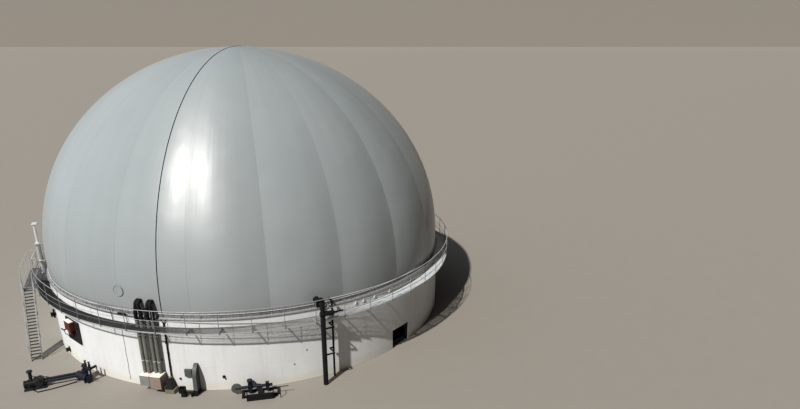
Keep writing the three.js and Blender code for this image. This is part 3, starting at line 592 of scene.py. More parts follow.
def build_skirt():
    """The clamp channel on the wall's crest, its hooks and the tension line above it."""
    channel = Shape().hoop(13.905, 13.985, 4.502, 4.575)
    channel.piece("membrane_clamp", GALVANISED, "galvanised")
    hooks, straps = Shape(), Shape()
    for i in range(160):
        m = turn(2.25 * i + 0.6)
        hooks.wall_box(-0.012, 0.012, 13.93, 13.965, 4.575, 4.70, m)
        hooks.wall_box(-0.02, 0.02, 13.925, 13.945, 4.68, 4.73, m)
        if i % 2:
            straps.wall_box(0.045, 0.07, 13.92, 13.95, 4.575, 4.66, m)
    for azimuth in (37.7, 40.1, 43.6, 48.9, 58.0):
        m = turn(azimuth)
        straps.wall_box(-0.02, 0.02, ON_WALL, 14.08, 4.17, 4.42, m)
        straps.wall_box(-0.06, -0.01, ON_WALL, 14.08, 4.17, 4.27, m)
    flap = Shape().hoop(13.986, 14.075, 4.504, 4.526)
    flap.piece("skirt_flap", MEMBRANE, "membrane")
    hooks.piece("clamp_hooks", POST, "galvanised")
    straps.piece("clamp_straps", BRIGHT, "galvanised")
    line = Shape().tube([polar(i * 1.5, 13.942, 4.80) for i in range(240)], 0.016, 6, True)
    line.piece("skirt_line", BRIGHT, "galvanised")


def build_window():
    m = turn(-19.2)
    z, size = 5.93, 0.315
    r = dome_radius(z)
    s = Shape(m)
    s.tube([(dx, -(r + 0.012), z + dz) for dx, dz in circle(40, size)], 0.02, 8, True)
    for dx, dz in circle(16, size):
        s.bolt(dx, r + 0.02, z + dz, 0.012, 0.014)
    s.piece("window_ring", GREY, "dark_steel", ["sight_window"])
    pane = Shape(m).outward(0, r + 0.001, r + 0.016, z, 0.30, 40)
    pane.piece("window_pane", MEMBRANE, "membrane")


# Gallery

def post_azimuths(start, end):
    return [a for a in (FIRST_POST + POST_STEP * i for i in range(-POSTS, 2 * POSTS)) if start <= a < end]


def build_gallery_frame():
    """Four sections of edge beam with the arms that carry them."""
    for q in range(4):
        start, end = 90 * q, 90 * q + 90
        s = Shape()
        s.ring([(14.725, RIM_LOW), (RIM - 0.002, RIM_LOW), (RIM - 0.002, DECK_Z), (RIM - 0.010, DECK_Z),
                (RIM - 0.010, RIM_LOW + 0.010), (14.725, RIM_LOW + 0.010)], start + 0.01, end - 0.01, 104)
        for azimuth in post_azimuths(start, end):
            m = turn(azimuth)
            s.wall_box(-0.030, 0.030, 14.01, 14.79, DECK_LOW - 0.008, DECK_LOW, m)
            s.wall_box(-0.030, 0.030, 14.01, 14.79, ARM_LOW, ARM_LOW + 0.008, m)
            s.wall_box(-0.004, 0.004, 14.01, 14.79, ARM_LOW + 0.006, DECK_LOW - 0.006, m)
            s.wall_box(-0.09, 0.09, 14.004, 14.014, PLATE_LOW, DECK_LOW - 0.01, m)
            s.prism([(14.012, PLATE_LOW + 0.015), (14.30, ARM_LOW), (14.012, ARM_LOW)], -0.005, 0.005,
                    m @ Matrix.Rotation(-math.pi / 2, 4, "Z"))
            for x in (-0.06, 0.06):
                for z in (PLATE_LOW + 0.03, DECK_LOW - 0.04):
                    s.bolt(x, 14.014, z, 0.014, 0.016, m)
        s.piece(f"gallery_steel_{q + 1}", GALVANISED, "galvanised", [f"gallery_frame_{q + 1}"])


def build_grating():
    """Bearing bars across the deck and rods along it."""
    holes = [(a, PIPE_D, 0.135) for a in PIPES] + [(-8.15, 14.06, 0.06), (THIN, THIN_D, 0.083)]
    for q in range(4):
        start = 90 * q
        s = Shape()
        count = 560
        for i in range(count):
            azimuth = start + 90 * (i + 0.5) / count
            m = turn(azimuth)
            clear = [DECK_IN]
            signed = (azimuth + 180) % 360 - 180
            for a, r, size in holes:
                side = (signed - a) * math.pi / 180 * r
                if abs(side) < size:
                    half = math.sqrt(size * size - side * side)
                    if r - half > DECK_IN + 0.02:
                        clear += [r - half, r + half]
                    else:
                        clear[0] = r + half
            clear.append(DECK_OUT)
            for k in range(0, len(clear), 2):
                s.wall_box(-0.0022, 0.0022, clear[k], clear[k + 1], DECK_Z - 0.028, DECK_Z, m)
        for k in range(7):
            r = DECK_IN + 0.03 + k * (DECK_OUT - DECK_IN - 0.06) / 6
            spans = [(start + 0.02, start + 89.98)]
            for a, hr, size in holes:
                place = a % 360
                if start < place < start + 90 and abs(r - hr) < size:
                    half = math.sqrt(size * size - (r - hr) ** 2) / r * 180 / math.pi
                    old = spans.pop()
                    spans += [(old[0], place - half), (place + half, old[1])]
            for a, b in spans:
                s.hoop(r - 0.003, r + 0.003, DECK_Z - 0.007, DECK_Z - 0.001,
                       a, b, max(2, int((b - a) / 1.2)), False)
        for r in (DECK_IN + 0.003, DECK_OUT - 0.003):
            s.hoop(r - 0.003, r + 0.003, DECK_Z - 0.029, DECK_Z, start + 0.01, start + 89.99, 90, False)
        s.piece(f"grating_{q + 1}", GRATING, "galvanised", [f"gallery_deck_{q + 1}"])


def mid_bay(bay):
    return FIRST_POST + POST_STEP * (bay + 0.5)


def rail_post(s, azimuth):
    """A round post on a plate that is bolted to the edge beam."""
    m = turn(azimuth)
    s.upright(0, RAIL_R, 0.018, RIM_LOW + 0.006, TOP_RAIL - 0.01, 10, m)
    s.wall_box(-0.045, 0.045, RIM + 0.0005, RIM + 0.008, RIM_LOW + 0.004, DECK_Z - 0.004, m)
    for x in (-0.033, 0.033):
        s.bolt(x, RIM + 0.008, (RIM_LOW + DECK_Z) / 2, 0.010, 0.010, m)


def build_guardrails():
    spans = [(GATE[1], mid_bay(4)), (mid_bay(4), mid_bay(16)), (mid_bay(16), mid_bay(29)),
             (mid_bay(29), GATE[0] + 360)]
    gate_posts = [[GATE[1] + GATE_POST], [], [], [GATE[0] + 360 - GATE_POST]]
    trim = 0.012
    for k, (start, end) in enumerate(spans):
        s = Shape()
        count = int((end - start) / 1.2)
        azimuths = np.linspace(start + trim, end - trim, count + 1)
        for z, radius in ((TOP_RAIL, 0.020), (KNEE_RAIL, 0.012)):
            s.tube([polar(a, RAIL_R - 0.004, z) for a in azimuths], radius, 10)
        # Painted shade and light: the first span, at the front and left, is given the darker stair steel and
        # the others the bright galvanised, for how the sun falls on the rail
        s.piece(f"rail_{k + 1}", BRIGHT if k else STEEL, "galvanised", [f"guardrail_{k + 1}"])
        s = Shape()
        for azimuth in post_azimuths(start, end) + gate_posts[k]:
            rail_post(s, azimuth)
        s.piece(f"rail_posts_{k + 1}", POST, "galvanised")
        s = Shape().tube([polar(a, RAIL_R - 0.004, TOE_RAIL) for a in azimuths], 0.016, 10)
        s.piece(f"toe_rail_{k + 1}", TOE, "galvanised")


# Stair

def rim_distance(x, radius):
    """How far out the gallery's edge lies at a local x of the landing."""
    return math.sqrt(radius * radius - x * x)


def build_landing():
    m = turn(LANDING)
    s = Shape(m)
    low, top, far = LAND_LOW, DECK_LOW, LAND_OUT - 0.007
    s.wall_box(LAND_LEFT, LAND_RIGHT, LAND_OUT - 0.008, LAND_OUT, low, top)
    s.wall_box(LAND_LEFT, LAND_RIGHT, LAND_OUT - 0.06, LAND_OUT - 0.006, low, low + 0.008)
    s.wall_box(LAND_LEFT, LAND_RIGHT, LAND_OUT - 0.06, LAND_OUT - 0.006, top - 0.008, top)
    for x in (LAND_LEFT, 0.3, 1.5, LAND_RIGHT - 0.06):
        near = rim_distance(max(abs(x), abs(x + 0.06)), 14.802) + 0.003
        s.wall_box(x, x + 0.008, near, far, low, top)
        s.wall_box(x + 0.006, x + 0.06, near, far, top - 0.008, top)
        s.wall_box(x + 0.006, x + 0.06, near, far, low, low + 0.008)
    s.piece("landing_steel", GALVANISED, "galvanised", ["landing_frame"])
    g = Shape(m)
    x = LAND_LEFT + 0.02
    while x < LAND_RIGHT - 0.01:
        in_gate = GATE[0] < LANDING + math.degrees(math.atan2(x, 14.8)) < GATE[1]
        near = rim_distance(x, 14.806 if in_gate else 14.856) + 0.002
        g.wall_box(x - 0.0022, x + 0.0022, near, LAND_OUT - 0.004, DECK_Z - 0.028, DECK_Z)
        x += 0.036
    y, left, right = LAND_OUT - 0.05, LAND_LEFT + 0.01, LAND_RIGHT - 0.01
    while y > 14.6:
        reach = math.sqrt(max(0.0, 14.86 ** 2 - y * y)) + 0.01
        for x0, x1 in [(left, right)] if reach < 0.02 else [(reach, right), (left, -reach)]:
            if x1 - x0 > 0.04:
                g.wall_box(x0, x1, y - 0.003, y + 0.003, DECK_Z - 0.007, DECK_Z - 0.001)
        y -= 0.10
    g.wall_box(LAND_LEFT, LAND_RIGHT, LAND_OUT - 0.006, LAND_OUT, DECK_Z - 0.029, DECK_Z)
    g.wall_box(LAND_LEFT, LAND_LEFT + 0.006, rim_distance(LAND_LEFT, 14.86), LAND_OUT - 0.006,
               DECK_Z - 0.029, DECK_Z)
    g.wall_box(LAND_RIGHT - 0.05, LAND_RIGHT, rim_distance(LAND_RIGHT, 14.806), LAND_OUT - 0.006,
               DECK_Z - 0.029, DECK_Z)
    g.piece("landing_grating", POST, "galvanised", ["landing_deck"])
    nosing = Shape(m).wall_box(LAND_RIGHT - 0.048, LAND_RIGHT - 0.002, STAIR[0], STAIR[1] - 0.006,
                               DECK_Z - 0.026, DECK_Z + 0.001)
    nosing.piece("landing_nosing", BRIGHT, "galvanised")
    r = Shape(m)
    line = LAND_OUT + 0.021
    for z, radius in ((TOP_RAIL, 0.019), (KNEE_RAIL, 0.014), (TOE_RAIL, 0.014)):
        r.tube([(LAND_RIGHT, -line, z), (LAND_LEFT - 0.02, -line, z), (LAND_LEFT - 0.02, -14.95, z)],
               radius, 10)
    for x in (LAND_LEFT, 0.0, 1.3, LAND_RIGHT - 0.04):
        r.upright(x + 0.02, line, 0.019, low + 0.01, TOP_RAIL, 10)
        r.wall_box(x - 0.025, x + 0.065, LAND_OUT + 0.0005, LAND_OUT + 0.008, low + 0.02, top - 0.02)
    r.upright(LAND_LEFT - 0.02, 14.96, 0.019, low + 0.01, TOP_RAIL, 10)
    r.piece("landing_rail", RAIL, "galvanised", ["landing_guardrail"])


def build_stair():
    m = turn(LANDING)
    rise = DECK_Z / RISERS
    going = RUN / (RISERS - 1)
    slope = rise / going
    nose = LAND_RIGHT + 0.045

    def edge(x):
        return DECK_Z + 0.06 - slope * (x - nose)

    def edge_x(z):
        return nose + (DECK_Z + 0.06 - z) / slope

    s = Shape(m)
    start = LAND_RIGHT + 0.0005
    outline = [(start, DECK_Z), (edge_x(DECK_Z), DECK_Z), (edge_x(0), 0.0), (edge_x(0.42), 0.0),
               (start, edge(start) - 0.42)]
    for near in (STAIR[0], STAIR[1] - 0.010):
        s.prism(outline, -near - 0.010, -near)
    s.piece("stair_strings", STEEL, "galvanised", ["stair_flight"])
    t, g, tread_shade = Shape(m), Shape(m), Shape(m)
    near, far = STAIR[0] + 0.011, STAIR[1] - 0.011
    for i in range(1, RISERS):
        z = i * rise
        front = nose + (RISERS - i) * going
        back = front - 0.15
        t.wall_box(front - 0.028, front, near, far, z - 0.035, z)
        # Painted shade: a thin dark strip below the back of each tread stands for the shadow line under it
        tread_shade.wall_box(back, back + 0.008, near, far, z - 0.075, z - 0.004)
        for y in (near, far - 0.006):
            t.wall_box(back, front, y, y + 0.006, z - 0.035, z)
        y = STAIR[0] + 0.05
        while y < STAIR[1] - 0.03:
            g.wall_box(back + 0.009, front - 0.027, y - 0.003, y + 0.003, z - 0.030, z)
            y += 0.025
        g.wall_box(back + 0.06, back + 0.066, STAIR[0] + 0.016, STAIR[1] - 0.016, z - 0.008, z - 0.002)
    t.piece("stair_treads", TOE, "galvanised")
    g.piece("tread_bars", GRATING, "galvanised")
    tread_shade.piece("tread_back_shade", TOE, "galvanised")
    rail_end = edge_x(0) - 0.15
    thickness = 0.04 / math.cos(math.atan(slope))
    for name, y in (("outer", STAIR[1] + 0.020), ("inner", STAIR[0] - 0.020)):
        h = Shape(m)
        for drop in (0.0, -0.5):
            ends = [(x, -y, edge(x) - 0.06 + RAIL_ABOVE + drop - thickness / 2)
                    for x in (start + 0.01, rail_end - 0.01)]
            h.tube(ends, 0.0185, 10)
        for share in (0.04, 0.36, 0.68, 0.99):
            x = start + share * (rail_end - 0.04 - start) + 0.02
            low = max(edge(x + 0.02) - 0.294, 0.06)
            h.upright(x, y, 0.0185, low, edge(x) - 0.06 + RAIL_ABOVE - thickness / 2, 10)
        h.piece(f"stair_rail_{name}", STEEL, "galvanised", [f"stair_handrail_{name}"])


# Gas side

def build_relief():
    m = turn(-68)
    s = Shape(m)
    d = 14.4
    for x in (-0.15, 0.15):
        s.upright(x, d, 0.078, DECK_Z + 0.001, 4.95, 22)
        s.upright(x, d, 0.115, DECK_Z + 0.001, DECK_Z + 0.02, 22)
    s.level(-0.15, 0.15, d, 4.70, 0.068, 20)
    inner = dome_radius(4.70) + 0.001
    s.outward(0, inner, d, 4.70, 0.068, 20)
    s.outward(0, inner, inner + 0.03, 4.70, 0.12, 24)
    s.wall_box(-0.33, 0.33, d - 0.165, d + 0.165, 4.945, 4.98)
    for x in (-0.14, 0.14):
        s.upright(x, d, 0.122, 4.979, 6.135, 28)
        for z in (5.02, 5.30, 5.86, 6.10):
            s.upright(x, d, 0.128, z, z + 0.02, 28)
    s.wall_box(-0.35, 0.35, d - 0.17, d + 0.17, 6.135, 6.172)
    for x in (-0.3, -0.1, 0.1, 0.3):
        for y in (-0.14, 0.14):
            s.upright(x, d + y, 0.013, 4.925, 5.0, 6)
            s.upright(x, d + y, 0.013, 6.115, 6.176, 6)
    s.piece("relief_body", GALVANISED, "galvanised", ["relief_valve"], bevel=0.004)
    v = Shape(m)
    v.upright(-0.08, d, 0.083, 6.1755, 7.438, 24)
    v.upright(-0.08, d, 0.115, 6.1755, 6.20, 24)
    v.wall_box(-0.52, 0.06, d - 0.15, d + 0.15, 7.435, 7.474)
    v.wall_box(-0.52, -0.50, d - 0.15, d + 0.15, 7.433, 7.474)
    v.piece("vent_pipe", BRIGHT, "galvanised", ["vent_stack"], bevel=0.004)


def build_risers():
    m = turn(RISER)
    s = Shape(m)
    s.upright(0, RISER_D, 0.146, 0.0, 4.409, 28)
    s.upright(0, RISER_D, 0.149, 0.0, 0.05, 28)
    s.upright(0, RISER_D, 0.149, 2.2, 2.26, 28)
    s.wall_box(-0.04, 0.04, 14.812, RISER_D, RIM_LOW + 0.01, DECK_Z - 0.01)
    s.piece("gas_pipe", BLACK, "black_pipe", ["gas_riser"], bevel=0.004)
    h = Shape(m)
    h.level(-0.15, 0.64, RISER_D, RISER_HEAD_Z, 0.146, 28)
    for x in (-0.148, 0.42, 0.60):
        h.level(x, x + 0.038, RISER_D, RISER_HEAD_Z, 0.1495, 28)
    h.level(0.63, 1.245, RISER_D, RISER_HEAD_Z, 0.052, 16)
    h.level(1.215, 1.248, RISER_D, RISER_HEAD_Z, 0.059, 16)
    h.upright(0, RISER_D, 0.138, RISER_HEAD_Z, 5.12, 26)
    h.upright(0, RISER_D, 0.139, 4.80, 4.83, 26)
    inner = dome_radius(RISER_BRANCH_Z) + 0.001
    h.outward(0, inner, RISER_D + 0.055, RISER_BRANCH_Z, 0.136, 28)
    h.outward(0, inner, inner + 0.035, RISER_BRANCH_Z, 0.19, 28)
    h.wall_box(-0.208, 0.258, 14.26, 14.69, 4.862, 5.278)
    for x in (-0.17, 0.22):
        for z in (4.9, 5.24):
            h.bolt(x, 14.685, z, 0.014, 0.012)
    h.piece("riser_manifold", BLACK, "black_pipe", ["riser_head"], bevel=0.006)
    v = Shape(m).tube([(0.20, -14.96, 4.74), (0.36, -14.96, 5.04), (0.50, -14.96, 4.74)], 0.018, 8)
    v.wall_box(0.17, 0.53, 14.93, 14.99, 4.705, 4.75)
    v.piece("riser_bracket", BRIGHT, "galvanised")


def build_thin_riser():
    """Close to the wall, with struts to the thick riser."""
    t = Shape(turn(THIN))
    t.upright(0, THIN_D, 0.063, 0.0, 4.995, 20)
    for z in (0.0, 2.75, 4.12):
        t.upright(0, THIN_D, 0.0648, z, z + 0.05, 20)
    inner = dome_radius(4.95) + 0.001
    t.outward(0, inner, THIN_D, 4.95, 0.058, 18)
    gap = math.radians(RISER - THIN)
    riser_x, riser_d = RISER_D * math.sin(gap), RISER_D * math.cos(gap)
    corner = -0.23
    for z in (1.92, 3.6):
        t.wall_box(riser_x + 0.152, corner + 0.029, riser_d - 0.029, riser_d + 0.029, z - 0.044, z + 0.044)
        t.wall_box(corner - 0.029, corner + 0.029, THIN_D - 0.029, riser_d + 0.029, z - 0.044, z + 0.044)
        t.wall_box(corner - 0.029, 0.0, THIN_D - 0.029, THIN_D + 0.029, z - 0.044, z + 0.044)
    t.piece("condensate_pipe", BLACK, "black_pipe", ["condensate_riser"], bevel=0.004)


# Air side

def build_air(name, first, second, box_top):
    azimuth = (PIPES[first] + PIPES[second]) / 2
    x = PIPE_D * math.sin(math.radians((PIPES[second] - PIPES[first]) / 2))
    m = turn(azimuth)
    s = Shape(m)
    for side in (-x, x):
        s.upright(side, PIPE_D, 0.106, box_top + 0.001, PIPE_TOP, 26)
        s.upright(side, PIPE_D, 0.1095, box_top + 0.001, box_top + 0.10, 26)
        s.upright(side, PIPE_D, 0.1095, 2.62, 2.68, 26)
    for z in (1.9, 3.5):
        s.wall_box(-x - 0.09, x + 0.09, ON_BRACKET, 14.13, z - 0.02, z + 0.02)
    s.piece(f"air_duct_{name}", OLIVE, "olive_pipe", [f"air_pipes_{name}"], bevel=0.004)
    c = Shape(m)
    for side in (-x, x):
        for z in (1.9, 3.5):
            c.upright(side, PIPE_D, 0.1098, z - 0.02, z + 0.02, 26)
    c.piece(f"duct_bands_{name}", BRIGHT, "galvanised")
    h, band = Shape(m), Shape(m)
    bend = 0.19
    for side in (-1, 1):
        path = []
        for i in range(34):
            t = i / 33
            z = PIPE_TOP + 0.001 + t * 1.02
            bow = 0.035 * math.sin(math.pi * min(1.0, t * 1.1)) - 0.062 * t * t
            path.append((side * (x + bow), -PIPE_D, z))
        end_x, end_z = path[-1][0], path[-1][2]
        for i in range(1, 9):
            a = i * math.pi / 16
            path.append((end_x, -PIPE_D + bend * (1 - math.cos(a)), end_z + bend * math.sin(a)))
        path.append((end_x, -dome_radius(end_z + bend) - 0.004, end_z + bend))
        folds = [0.105 + 0.004 * (-1) ** i for i in (*range(34), *range(1, 9))]
        h.tube(path, folds + [0.105], 20)
        h.upright(side * x, PIPE_D, 0.112, PIPE_TOP + 0.001, PIPE_TOP + 0.20, 24)
        for z in (PIPE_TOP + 0.035, PIPE_TOP + 0.135):
            band.upright(side * x, PIPE_D, 0.1135, z, z + 0.022, 24)
    h.piece(f"air_bellows_{name}", RUBBER, "black_pipe", [f"air_hoses_{name}"])
    band.piece(f"hose_clips_{name}", BRIGHT, "galvanised")


def build_box(name, azimuth, width, far, bottom, top, material, slot, top_light):
    m = turn(azimuth)
    s = Shape(m)
    half = width / 2
    near = 14.06
    s.wall_box(-half, half, near, far - 0.006, bottom, top - 0.03)
    for x in (-half + 0.04, half - 0.1):
        s.wall_box(x, x + 0.06, ON_BRACKET, near + 0.005, bottom + 0.06, bottom + 0.14)
    for i in range(5):
        z = bottom + 0.12 + 0.05 * i
        s.wall_box(-half * 0.55, half * 0.55, far - 0.01, far - 0.0005, z, z + 0.022)
    s.piece(name + "_case", material, slot, [name], bevel=0.008, segments=2)
    # The top slab takes the pale paint, painted light for the sunlit top of the case
    cover = Shape(m).wall_box(-half, half, near, far, top - 0.03, top)
    cover.piece(name + "_lid", top_light, slot, bevel=0.008, segments=2)


# Fittings

def build_mixer():
    m = turn(MIXER)
    back = 14.004
    x0, x1, z0, z1 = -0.75, 0.93, 1.55, 3.03
    s = Shape(m)
    s.wall_box(x0, x1, back, back + 0.012, z0, z1)
    b = 0.058
    for left, right, low, top in ((x0, x1, z0, z0 + b), (x0, x1, z1 - b, z1), (x0, x0 + b, z0, z1),
                                  (x1 - b, x1, z0, z1)):
        s.wall_box(left, right, back, 14.070, low, top)
    for i in range(1, 9):
        z = z0 + (z1 - z0) * i / 9
        s.wall_box(x0 + 0.02, x1 - 0.02, back + 0.01, back + 0.030, z - 0.008, z + 0.008)
        x = x0 + (x1 - x0) * i / 9
        s.wall_box(x - 0.008, x + 0.008, back + 0.01, back + 0.034, z0 + 0.02, z1 - 0.02)
    for x in np.linspace(x0 + 0.035, x1 - 0.035, 9):
        for z in (z0 + 0.035, z1 - 0.035):
            s.bolt(x, 14.058, z, 0.016, 0.013)
    s.piece("mixer_hatch", DARK, "dark_steel", ["mixer_plate"])
    seat = back + 0.032
    hub_x, hub_z = -0.02, 2.19
    d = Shape(m)
    d.wall_box(-0.398, 0.318, seat, seat + 0.29, 2.342, 2.93)
    for x in np.linspace(-0.36, 0.26, 6):
        d.wall_box(x, x + 0.014, seat + 0.28, seat + 0.299, 2.36, 2.94)
    d.outward(hub_x, seat, seat + 0.205, hub_z, 0.165, 26)
    for dx, dz in circle(12, 0.14):
        d.bolt(hub_x + dx, seat + 0.198, hub_z + dz, 0.014, 0.010)
    d.piece("mixer_gearbox", RED, "red_paint", ["mixer_drive"], bevel=0.006)
    # The top slab takes the pale paint, painted light for the sunlit top of the gearbox
    top_light = Shape(m).wall_box(-0.399, 0.319, seat, seat + 0.299, 2.93, 2.959)
    top_light.piece("mixer_lid", LIT_TOP_PAINT, "red_paint", bevel=0.004)
    a = Shape(m)
    a.outward(-0.34, seat + 0.28, seat + 0.428, 2.33, 0.043, 14)
    a.level(-0.638, -0.32, seat + 0.40, 2.33, 0.038, 14)
    a.tube([(-0.33, -(seat + 0.38), 2.30), (-0.30, -(seat + 0.36), 2.10), (-0.16, -(seat + 0.22), 1.92),
            (-0.10, -(seat + 0.05), 1.86)], 0.022, 10)
    a.piece("mixer_winch_arm", BLACK, "black_pipe")
    door = Shape(m).wall_box(0.60, 0.868, seat - 0.01, seat + 0.034, 1.612, 2.968)
    door.piece("hatch_panel", BLACK, "dark_steel", bevel=0.006)
    strip = Shape(m).wall_box(0.565, 0.598, seat - 0.01, seat + 0.030, 1.62, 2.96)
    strip.piece("hatch_seal", RED, "red_paint")


def build_side_valve():
    s = Shape(turn(-57.6))
    s.outward(0, ON_WALL, 14.33, SIDE_VALVE_Z, 0.105, 26)
    for d in (14.20, 14.255, 14.30):
        s.outward(0, d, d + 0.028, SIDE_VALVE_Z, 0.185, 30)
    for dx, dz in circle(8, 0.155):
        s.outward(dx, 14.19, 14.315, SIDE_VALVE_Z + dz, 0.014, 8)
    s.wall_box(-0.055, 0.055, 14.06, 14.18, 1.60, 2.20)
    s.outward(0, 14.10, 14.13, 2.135, 0.06, 18)
    s.piece("wall_valve", BLACK, "dark_steel", ["side_valve"], bevel=0.004)


def pump_matrix():
    """Local x points from the transfer pump to the valve group."""
    return Matrix.Translation((*PUMP_PLACE, 0)) @ Matrix.Rotation(math.radians(PUMP_TURN), 4, "Z")


def flange(s, x, distance, z, radius, thick):
    """A round flange with six bolts that stick out at both sides."""
    s.upright(x, distance, radius, z, z + thick, 28)
    for dx, dy in circle(6, radius - 0.03):
        s.upright(x + dx, distance + dy, 0.011, z - 0.018, z + thick + 0.018, 6)


def hand_wheel(s, centre, radius):
    """A wheel with four spokes that lies level."""
    x, y, z = centre
    s.tube([(x + dx, y + dy, z) for dx, dy in circle(20, radius)], 0.010, 8, True)
    for dx, dy in ((radius, 0), (0, radius)):
        s.rod((x - dx, y - dy, z), (x + dx, y + dy, z), 0.008, 6)


def build_valve_group():
    s = Shape(turn(GROUP))
    d = 14.87
    drum = (15.06, 0.305)
    header = (14.872, 0.855)
    for x, top in ((-0.22, 1.02), (0.04, 1.30), (0.40, 1.30)):
        s.upright(x, d, 0.052, 0.42, top, 20)
        s.upright(x, d, 0.072, top - 0.34, top - 0.14, 20)
        flange(s, x, d, top - 0.40, 0.083, 0.026)
        hand_wheel(s, (x, -d, top + 0.008), 0.074)
    s.level(-0.55, 0.33, *drum, 0.228, 36)
    for x in (-0.55, -0.30, 0.02, 0.285):
        s.level(x, x + 0.045, *drum, 0.243, 36)
    s.wall_box(0.32, 0.478, 14.825, 15.185, 0.065, 0.455)
    for x in (-0.45, 0.15):
        s.wall_box(x, x + 0.12, 14.895, 15.225, 0, 0.20)
    s.wall_box(-0.285, 0.065, 14.795, 15.0, 0.40, 0.695)
    s.level(-0.32, 0.47, *header, 0.070, 24)
    for x in (-0.32, -0.10, 0.20, 0.44):
        s.level(x, x + 0.03, *header, 0.081, 24)
    s.outward(-0.39, ON_WALL, 14.90, 0.40, 0.082, 24)
    s.outward(-0.39, ON_WALL, 14.03, 0.40, 0.089, 24)
    s.tube([(0.475, -15.02, 0.33), (0.60, -15.0, 0.36), (0.74, -14.95, 0.40)], 0.018, 8)
    s.matrix = pump_matrix()
    for y in PUMP_PIPES:
        s.level(PUMP_FLANGE_X + 0.001, 2.12, -y, PUMP_PIPE_Z, 0.074, 24)
        s.level(PUMP_FLANGE_X + 0.001, PUMP_FLANGE_X + 0.035, -y, PUMP_PIPE_Z, 0.077, 24)
        for x in (1.15, 1.62):
            s.level(x, x + 0.03, -y, PUMP_PIPE_Z, 0.0775, 24)
    s.piece("valve_stand", BLUE, "blue_paint", ["valve_group"], bevel=0.004)
    c = Shape(pump_matrix())
    c.tube([(-0.50, -0.31, 0.42), (-0.42, -0.52, 0.26), (-0.05, -0.70, 0.04), (0.75, -0.62, 0.035),
            (1.45, -0.48, 0.035), (1.95, -0.36, 0.05), (2.10, -0.30, 0.20)], 0.030, 12)
    c.tube([(-0.40, -0.31, 0.90), (-0.20, -0.42, 1.0), (0.05, -0.40, 0.80), (0.12, -0.33, 0.55)], 0.020, 10)
    c.tube([(0.10, 0.31, 0.50), (0.40, 0.48, 0.30), (0.90, 0.52, 0.05), (1.70, 0.42, 0.04)], 0.022, 10)
    c.piece("pump_cables", RUBBER, "dark_steel")


def build_transfer_pump():
    s = Shape(pump_matrix())
    s.box(-0.775, 0.375, -0.325, 0.325, 0.0, 0.10)
    s.box(-0.145, 0.215, -0.28, 0.28, 0.10, 0.56)
    s.outward(0.035, 0.295, -0.295, 0.36, 0.235, 30)
    for y in PUMP_PIPES:
        s.level(0.20, PUMP_FLANGE_X, -y, PUMP_PIPE_Z, 0.083, 24)
        s.level(PUMP_FLANGE_X - 0.035, PUMP_FLANGE_X, -y, PUMP_PIPE_Z, 0.123, 28)
        for dy, dz in circle(8, 0.1):
            s.level(PUMP_FLANGE_X - 0.05, PUMP_FLANGE_X - 0.001, -(y + dy), PUMP_PIPE_Z + dz, 0.012, 6)
    motor = (0.06, 0.35)
    s.level(-0.755, -0.14, *motor, 0.185, 32)
    for i in range(18):
        fin = Matrix.Translation((0, -motor[0], motor[1])) @ Matrix.Rotation(i * math.pi / 9, 4, "X")
        s.box(-0.66, -0.22, -0.005, 0.005, 0.18, 0.212, fin)
    s.level(-0.758, -0.68, *motor, 0.213, 32)
    s.box(-0.635, -0.245, -0.195, 0.075, 0.10, 0.22)
    s.box(-0.52, -0.34, -0.15, 0.02, 0.53, 0.60)
    tower = (-0.42, -0.31)
    s.upright(*tower, 0.098, 0.10, 0.93, 24)
    s.upright(*tower, 0.162, 0.90, 0.984, 30)
    for z in (0.30, 0.62):
        s.upright(*tower, 0.104, z, z + 0.03, 24)
    s.tube([(-0.43, 0.30, 0.30), (-0.28, 0.302, 0.34), (-0.20, 0.30, 0.50), (-0.12, 0.30, 0.52)], 0.06, 14)
    s.piece("transfer_pump_set", DARK, "dark_steel", ["transfer_pump"], bevel=0.005)


def build_conduit():
    m = turn(-8.15)
    s = Shape(m)
    d = 14.06
    s.upright(0, d, 0.043, 0.86, 4.29, 18)
    for z in (1.5, 2.4, 3.3):
        s.wall_box(-0.058, 0.058, ON_WALL, d + 0.02, z - 0.02, z + 0.02)
    for side in (-1, 1):
        s.tube([(0, -d, 4.26), (side * 0.05, -d, 4.33), (side * 0.14, -d, 4.46)], 0.028, 10)
    s.wall_box(-0.055, 0.055, d - 0.02, d + 0.065, 3.02, 3.14)
    s.piece("wall_conduit_pipe", BLACK, "dark_steel", ["wall_conduit"], bevel=0.003)
    c = Shape(m)
    for i in range(9):
        z0, z1 = 0.25 + 0.072 * i, 0.25 + 0.072 * (i + 1)
        r0, r1 = 0.233 - 0.0165 * i, 0.233 - 0.0165 * (i + 1)
        outline = [(r0, z0), (r1 - 0.006, z1), (-r1 + 0.006, z1), (-r0, z0)]
        c.prism(outline, -14.3 - r0 * 0.96, -14.3 + r0 * 0.96)
    c.piece("covered_valve", DARK, "dark_steel", bevel=0.006)
    b = Shape(m)
    b.wall_box(-0.24, 0.33, 14.02, 14.56, 0, 0.25)
    b.wall_box(-0.07, 0.07, 14.02, 14.30, 0.76, 0.90)
    b.piece("valve_pit", MOSS, "dark_steel", bevel=0.01)


